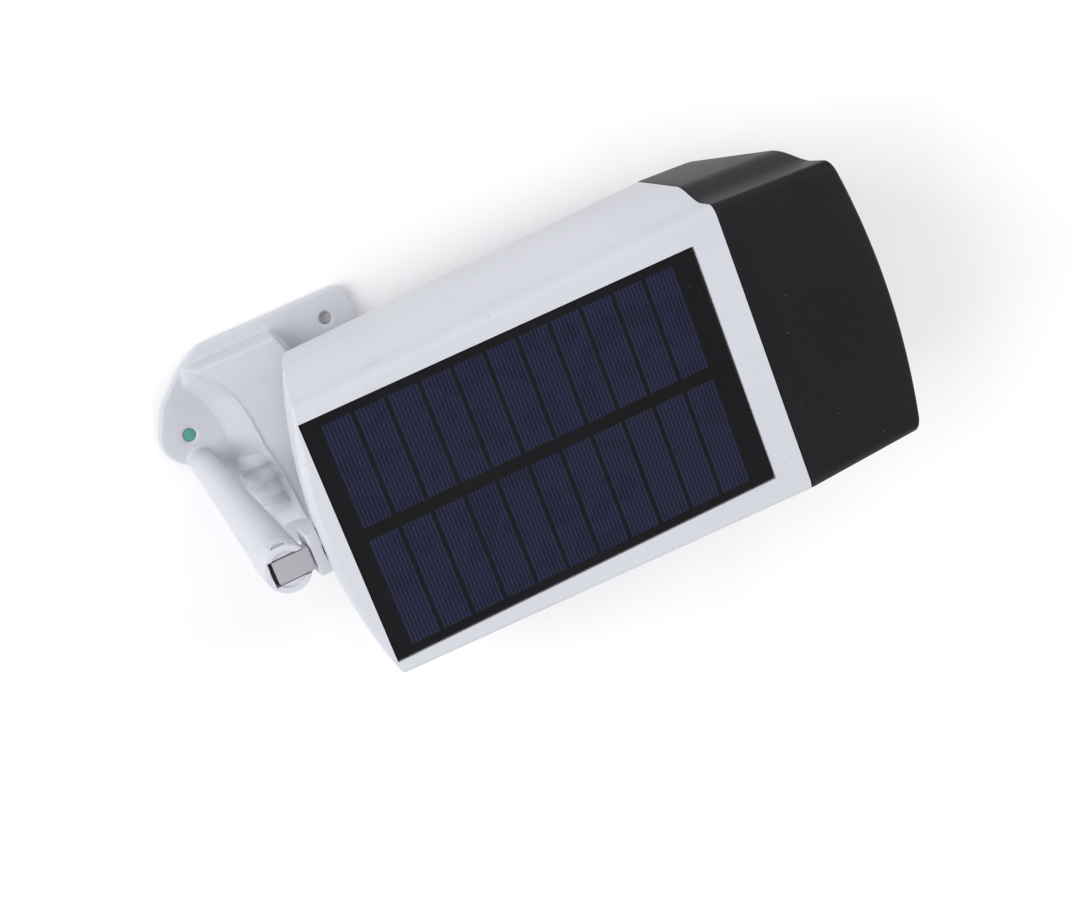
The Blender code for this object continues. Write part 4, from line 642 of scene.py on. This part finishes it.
# ---------------------------------------------------------------- solar panel
def build_panel():
    """A resin slab, with 22 thin cells let into its face."""
    points, faces = slab(PANEL_LOW, (*PANEL_HIGH.xy, PANEL_HIGH.z - 0.05 * MM), 1.2 * MM, 0.3 * MM)
    surface("panel_slab", points, faces, ["solar_panel"], angle=FLAT_ANGLE)
    far, near = PANEL_HIGH.y, PANEL_LOW.y
    rows = ((far - 31.7 * MM, far - 2.4 * MM), (near + 2.5 * MM, far - 35.4 * MM))
    grids, polygons, count = [], [], 0
    for low_y, high_y in rows:
        for i in range(CELL_COUNT):
            low = (CELL_START + i * CELL_PITCH, low_y, PANEL_HIGH.z - 0.3 * MM)
            high = (low[0] + CELL_WIDTH, high_y, PANEL_HIGH.z)
            points, faces = slab(low, high, 0.15 * MM, 0.04 * MM, steps=3)
            grids.append(points.reshape(-1, 3))
            polygons += [[index + count for index in face] for face in faces]
            count += points.size // 3
    mesh = bpy.data.meshes.new("cell_strips")
    mesh.from_pydata(np.concatenate(grids), [], polygons)
    cells_piece = bpy.data.objects.new("cell_strips", tidy(mesh))
    bpy.context.scene.collection.objects.link(cells_piece)
    mesh.materials.append(CELL_LOOK)
    mesh.shade_smooth()
    mesh.set_sharp_from_angle(angle=math.radians(FLAT_ANGLE))
    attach(cells_piece, "camera")


# ---------------------------------------------------------------- wall bracket
PEDESTAL_LIP = ((3.2, 46.2), (7.7, 40.9), (11.4, 34.4), (12.9, 27.0), (13.5, 19.2), (15.2, 10.7),
                (16.2, 0.0), (16.5, -7.0))  # millimetres from the pan axis
BEAD_HEIGHT = 0.75 * MM
BEAD_WIDTH = 0.52 * MM
BRACKET_GRAIN = 0.45 * MM          # size of the cells the bracket's skin is made from


def raise_lip(mesh):
    """A thin bead along the pedestal's edge: its height is a Gaussian of the distance to a line."""
    points = np.empty(len(mesh.vertices) * 3)
    mesh.vertices.foreach_get("co", points)
    points = points.reshape(-1, 3)
    flat = points[:, :2] - (PAN_X, PAN_Y)
    line = np.array(PEDESTAL_LIP) * MM
    start, step = line[:-1], np.diff(line, axis=0)
    reach = flat[:, None] - start
    share = np.clip((reach * step).sum(-1) / (step ** 2).sum(-1), 0, 1)
    apart = np.linalg.norm(reach - share[..., None] * step, axis=-1).min(1)
    near_top = np.clip((points[:, 2] - 9 * MM) / (2 * MM), 0, 1) * (points[:, 2] < 14 * MM)
    points[:, 2] += BEAD_HEIGHT * np.exp(-(apart / BEAD_WIDTH) ** 2) * near_top
    mesh.vertices.foreach_set("co", points.ravel())
    mesh.update()


def build_bracket():
    """The bracket's solid as an even fine skin, softened as a moulding is at every edge."""
    mesh = tidy(frame["nodes"]["wall_bracket"].data.copy())
    draft = bpy.data.objects.new("bracket_draft", mesh)
    bpy.context.scene.collection.objects.link(draft)
    skin = draft.modifiers.new("even_skin", "REMESH")
    skin.mode, skin.voxel_size = "VOXEL", BRACKET_GRAIN
    soft = draft.modifiers.new("soft_edges", "SMOOTH")
    soft.factor, soft.iterations = 0.5, 5
    bpy.context.view_layer.update()
    graph = bpy.context.evaluated_depsgraph_get()
    fine = bpy.data.meshes.new_from_object(draft.evaluated_get(graph))
    fine.name = "bracket_moulding"
    bpy.data.objects.remove(draft)
    raise_lip(fine)
    return show("bracket_moulding", fine, ["wall_bracket"], angle=60)


# ---------------------------------------------------------------- front: dome, windows, lens, LEDs
def middle_of(node):
    low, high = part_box(node)
    return low, high, (low + high) / 2


FACETS = 8                         # round the dome
GROOVE_DEPTH = 0.03                # as a share of the dome's radius
GROOVE_WIDTH = 0.035               # radians


def build_dome():
    """A hollow hemisphere on a flange; shallow grooves part its outside into lens facets.

    A point moves inwards by a Gaussian of its distance from the nearest facet border.
    """
    low, high, middle = middle_of("motion_dome")
    radius, wall = 7 * MM, 0.8 * MM
    turn = np.linspace(0, QUARTER, 41)
    outer = np.stack([radius * np.cos(turn), radius * np.sin(turn)], -1)
    inner = outer[::-1] * (radius - wall) / radius
    flange = (high.z - low.z) / 2
    front = high.x - radius
    back = low.x - front
    profile = np.concatenate([outer, [(back + wall, radius), (back + wall, flange), (back, flange),
                                      (back, radius - wall)], inner])
    steps = 120
    centre = np.array((front, middle.y, middle.z))
    points, faces = revolved(profile, centre, (1, 0, 0), steps)
    spin = np.linspace(0, 2 * math.pi, steps, endpoint=False)[None, :]
    polar = turn[:, None]
    facet = 2 * math.pi / FACETS
    between = np.abs((spin / facet + 0.5) % 1 - 0.5) * facet * np.sin(polar)
    borders = np.radians([22, 45, 68])
    rings = np.abs(polar[..., None] - borders).min(-1)
    nearest = np.minimum(rings, np.where(polar > borders[0], between, 1.0))
    groove = GROOVE_DEPTH * np.exp(-(nearest / GROOVE_WIDTH) ** 2)
    points[:len(turn)] = centre + (points[:len(turn)] - centre) * (1 - groove[..., None])
    surface("dome_lens", points, faces, ["motion_dome"], angle=60)


def build_light_window(node):
    """A round-cornered pane; its front is a field of small lenses, a product of two sines."""
    low, high, middle = middle_of(node)
    half_y, half_z, corner = (high.y - low.y) / 2, (high.z - low.z) / 2, 3 * MM
    crown, pitch = 0.35 * MM, 2.2 * MM
    v = np.linspace(-1, 1, 97)[:, None]
    u = np.linspace(-1, 1, 65)[None, :]
    z = v * half_z + 0 * u
    over = np.maximum(np.abs(z) - (half_z - corner), 0)
    y = u * (half_y - corner + np.sqrt(np.maximum(corner ** 2 - over ** 2, 0)))
    lens = np.sqrt(np.abs(np.sin(math.pi * y / pitch) * np.sin(math.pi * z / pitch)))
    fade = (1 - np.abs(u) ** 24) * (1 - np.abs(v) ** 24)
    front = np.stack([high.x - crown + crown * lens * fade, middle.y + y, middle.z + z], -1)
    back = front.copy()
    back[..., 0] = low.x
    rows, columns = z.shape
    count, edge = rows * columns, rim(rows, columns)
    joint = np.stack([edge, np.roll(edge, -1), np.roll(edge, -1) + count, edge + count], -1)
    faces = np.concatenate([quads(rows, columns), quads(rows, columns)[:, ::-1] + count, joint])
    surface(f"{node}_lenses", np.concatenate([front, back]), faces, [node], angle=70)


def build_glass(node, crown):
    """A disc of glass: its front bulges by crown, as a parabola of the radius."""
    low, high, middle = middle_of(node)
    radius, lip = (high.z - low.z) / 2, 0.15 * MM
    share = np.linspace(1, 0, 13)
    thick = high.x - low.x
    bulge = np.stack([thick - crown * share ** 2, (radius - lip) * share], -1)
    profile = [(0, 0), (0, radius - lip), (lip, radius), (thick - crown - lip, radius), *bulge]
    points, faces = revolved(profile, (low.x, middle.y, middle.z), (1, 0, 0), 64)
    surface(f"{node}_glass", points, faces, [node], angle=50)


def build_led(node):
    """A white package with round corners and a low dome of phosphor gel in its front."""
    low, high, middle = middle_of(node)
    top = high.x - 0.35 * MM
    body, body_faces = slab(low, (top, high.y, high.z), 0.5 * MM, 0.12 * MM, axis=0, steps=4)
    turn = np.linspace(0, QUARTER, 8)
    radius = 1.35 * MM
    profile = np.stack([0.35 * MM * np.cos(turn), radius * np.sin(turn)], -1)
    profile = np.concatenate([profile, [(-0.2 * MM, radius), (-0.2 * MM, 0)]])
    gel, gel_faces = revolved(profile, (top, middle.y, middle.z), (1, 0, 0), 24)
    body, gel = body.reshape(-1, 3), gel.reshape(-1, 3)
    made = surface(f"{node}_package", np.concatenate([body, gel]),
                   body_faces + (gel_faces + len(body)).tolist(), [node],
                   material=LOOKS["frosted_plastic"])
    made.data.materials.append(LOOKS["led_phosphor"])
    centres = np.empty(len(made.data.polygons) * 3)
    made.data.polygons.foreach_get("center", centres)
    away = np.hypot(centres[1::3] - middle.y, centres[2::3] - middle.z)
    gel_front = (away < radius * 1.01) & (centres[0::3] > top - 0.19 * MM)
    made.data.polygons.foreach_set("material_index", gel_front.astype(np.int32))


def build_round(node, axis, lip, steps=64):
    """A round bar along an axis, with both ends' edges rounded by a quarter circle."""
    low, high, middle = middle_of(node)
    other = (axis + 1) % 3
    length, radius = high[axis] - low[axis], (high[other] - low[other]) / 2
    turn = np.linspace(0, QUARTER, 5)
    start = np.stack([lip * (1 - np.cos(turn)), radius - lip + lip * np.sin(turn)], -1)
    end = np.stack([length - lip * (1 - np.sin(turn)), radius - lip + lip * np.cos(turn)], -1)
    centre = np.array(middle)
    centre[axis] = low[axis]
    profile = np.concatenate([[(0, 0)], start, end, [(length, 0)]])
    points, faces = revolved(profile, centre, np.eye(3)[axis], steps)
    surface(f"{node}_turned", points, faces, [node], angle=40)


def build_plate(node, axis, corner, lip):
    low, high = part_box(node)
    points, faces = slab(low, high, corner, lip, axis=axis)
    surface(f"{node}_plate", points, faces, [node], angle=FLAT_ANGLE)


build_upper_shell()
build_hood()
build_panel()
build_bracket()
build_dome()
build_glass("lens_window", 0.0)
build_glass("lens_front_element", 1.2 * MM)
build_glass("lens_rear_element", 0.6 * MM)
DONE = {"upper_shell", "front_hood", "solar_panel", "wall_bracket", "motion_dome", "lens_window",
        "lens_front_element", "lens_rear_element"}
for side in ("left", "right"):
    build_light_window(f"light_window_{side}")
    build_round(f"battery_{side}", 0, 0.9 * MM)
    DONE |= {f"light_window_{side}", f"battery_{side}"}
    for number in (1, 2, 3):
        build_led(f"led_{side}_{number}")
        DONE.add(f"led_{side}_{number}")
for node, axis, lip in (("light_pipe", 0, 0.25 * MM), ("motion_sensor", 0, 0.5 * MM),
                        ("hole_plug", 2, 0.3 * MM)):
    build_round(node, axis, lip)
    DONE.add(node)
for node, axis, corner, lip in (("camera_board", 0, 1.5 * MM, 0.1 * MM),
                                ("image_sensor", 0, 0.4 * MM, 0.1 * MM),
                                ("panel_pad", 2, 1.5 * MM, 0.2 * MM),
                                ("memory_card", 2, 0.6 * MM, 0.1 * MM)):
    build_plate(node, axis, corner, lip)
    DONE.add(node)
for node in sorted(frame["nodes"]):
    if node not in DONE:
        refined(node, bevel=0.1 * MM if node == "lower_shell" else 0.25 * MM)


# ---------------------------------------------------------------- camera, light and floor
def place_camera():
    """The camera's place and turn as a frame of right, up and backward directions."""
    right = Vector((0.881, -0.350, 0.319)).normalized()
    forward = Vector((0.229, -0.275, -0.934))
    back = -(forward - right * forward.dot(right)).normalized()
    up = back.cross(right)
    data = bpy.data.cameras.new("camera")
    data.sensor_width = 36.0
    data.lens = 71.57
    data.clip_start = 0.01
    camera = bpy.data.objects.new("camera", data)
    turn = Matrix((right, up, back)).transposed()
    camera.matrix_world = Matrix.Translation((-0.0806, 0.1371, 0.6021)) @ turn.to_4x4()
    bpy.context.scene.collection.objects.link(camera)
    bpy.context.scene.camera = camera


def area_light(name, place, size, watts, target=(0.06, -0.02, 0.04)):
    data = bpy.data.lights.new(name, "AREA")
    data.size = size
    data.energy = watts
    light = bpy.data.objects.new(name, data)
    light.location = place
    light.rotation_euler = (Vector(target) - Vector(place)).to_track_quat("-Z", "Y").to_euler()
    bpy.context.scene.collection.objects.link(light)


place_camera()
area_light("left_key", (-0.9, 0.25, 0.75), 0.9, 11)
area_light("far_fill", (0.4, 1.1, 0.7), 1.0, 3.5)
area_light("near_fill", (0.2, -1.1, 0.6), 1.0, 5)
area_light("front_fill", (1.2, 0.1, 0.7), 1.0, 8.5)
world = bpy.data.worlds.new("studio")
world.use_nodes = True
world.node_tree.nodes["Background"].inputs["Color"].default_value = (1, 1, 1, 1)
world.node_tree.nodes["Background"].inputs["Strength"].default_value = 0.46
bpy.context.scene.world = world

bpy.ops.mesh.primitive_plane_add(size=6, location=(0, 0, -0.0005))
floor = bpy.context.object
floor.name = "floor"
floor.data.materials.append(look("pale_floor", lambda place: {
    "Base Color": blend(noise(place, 8, 3.0), (0.90, 0.90, 0.905), (0.92, 0.92, 0.925))},
    Roughness=0.9, Specular_IOR_Level=0.1))
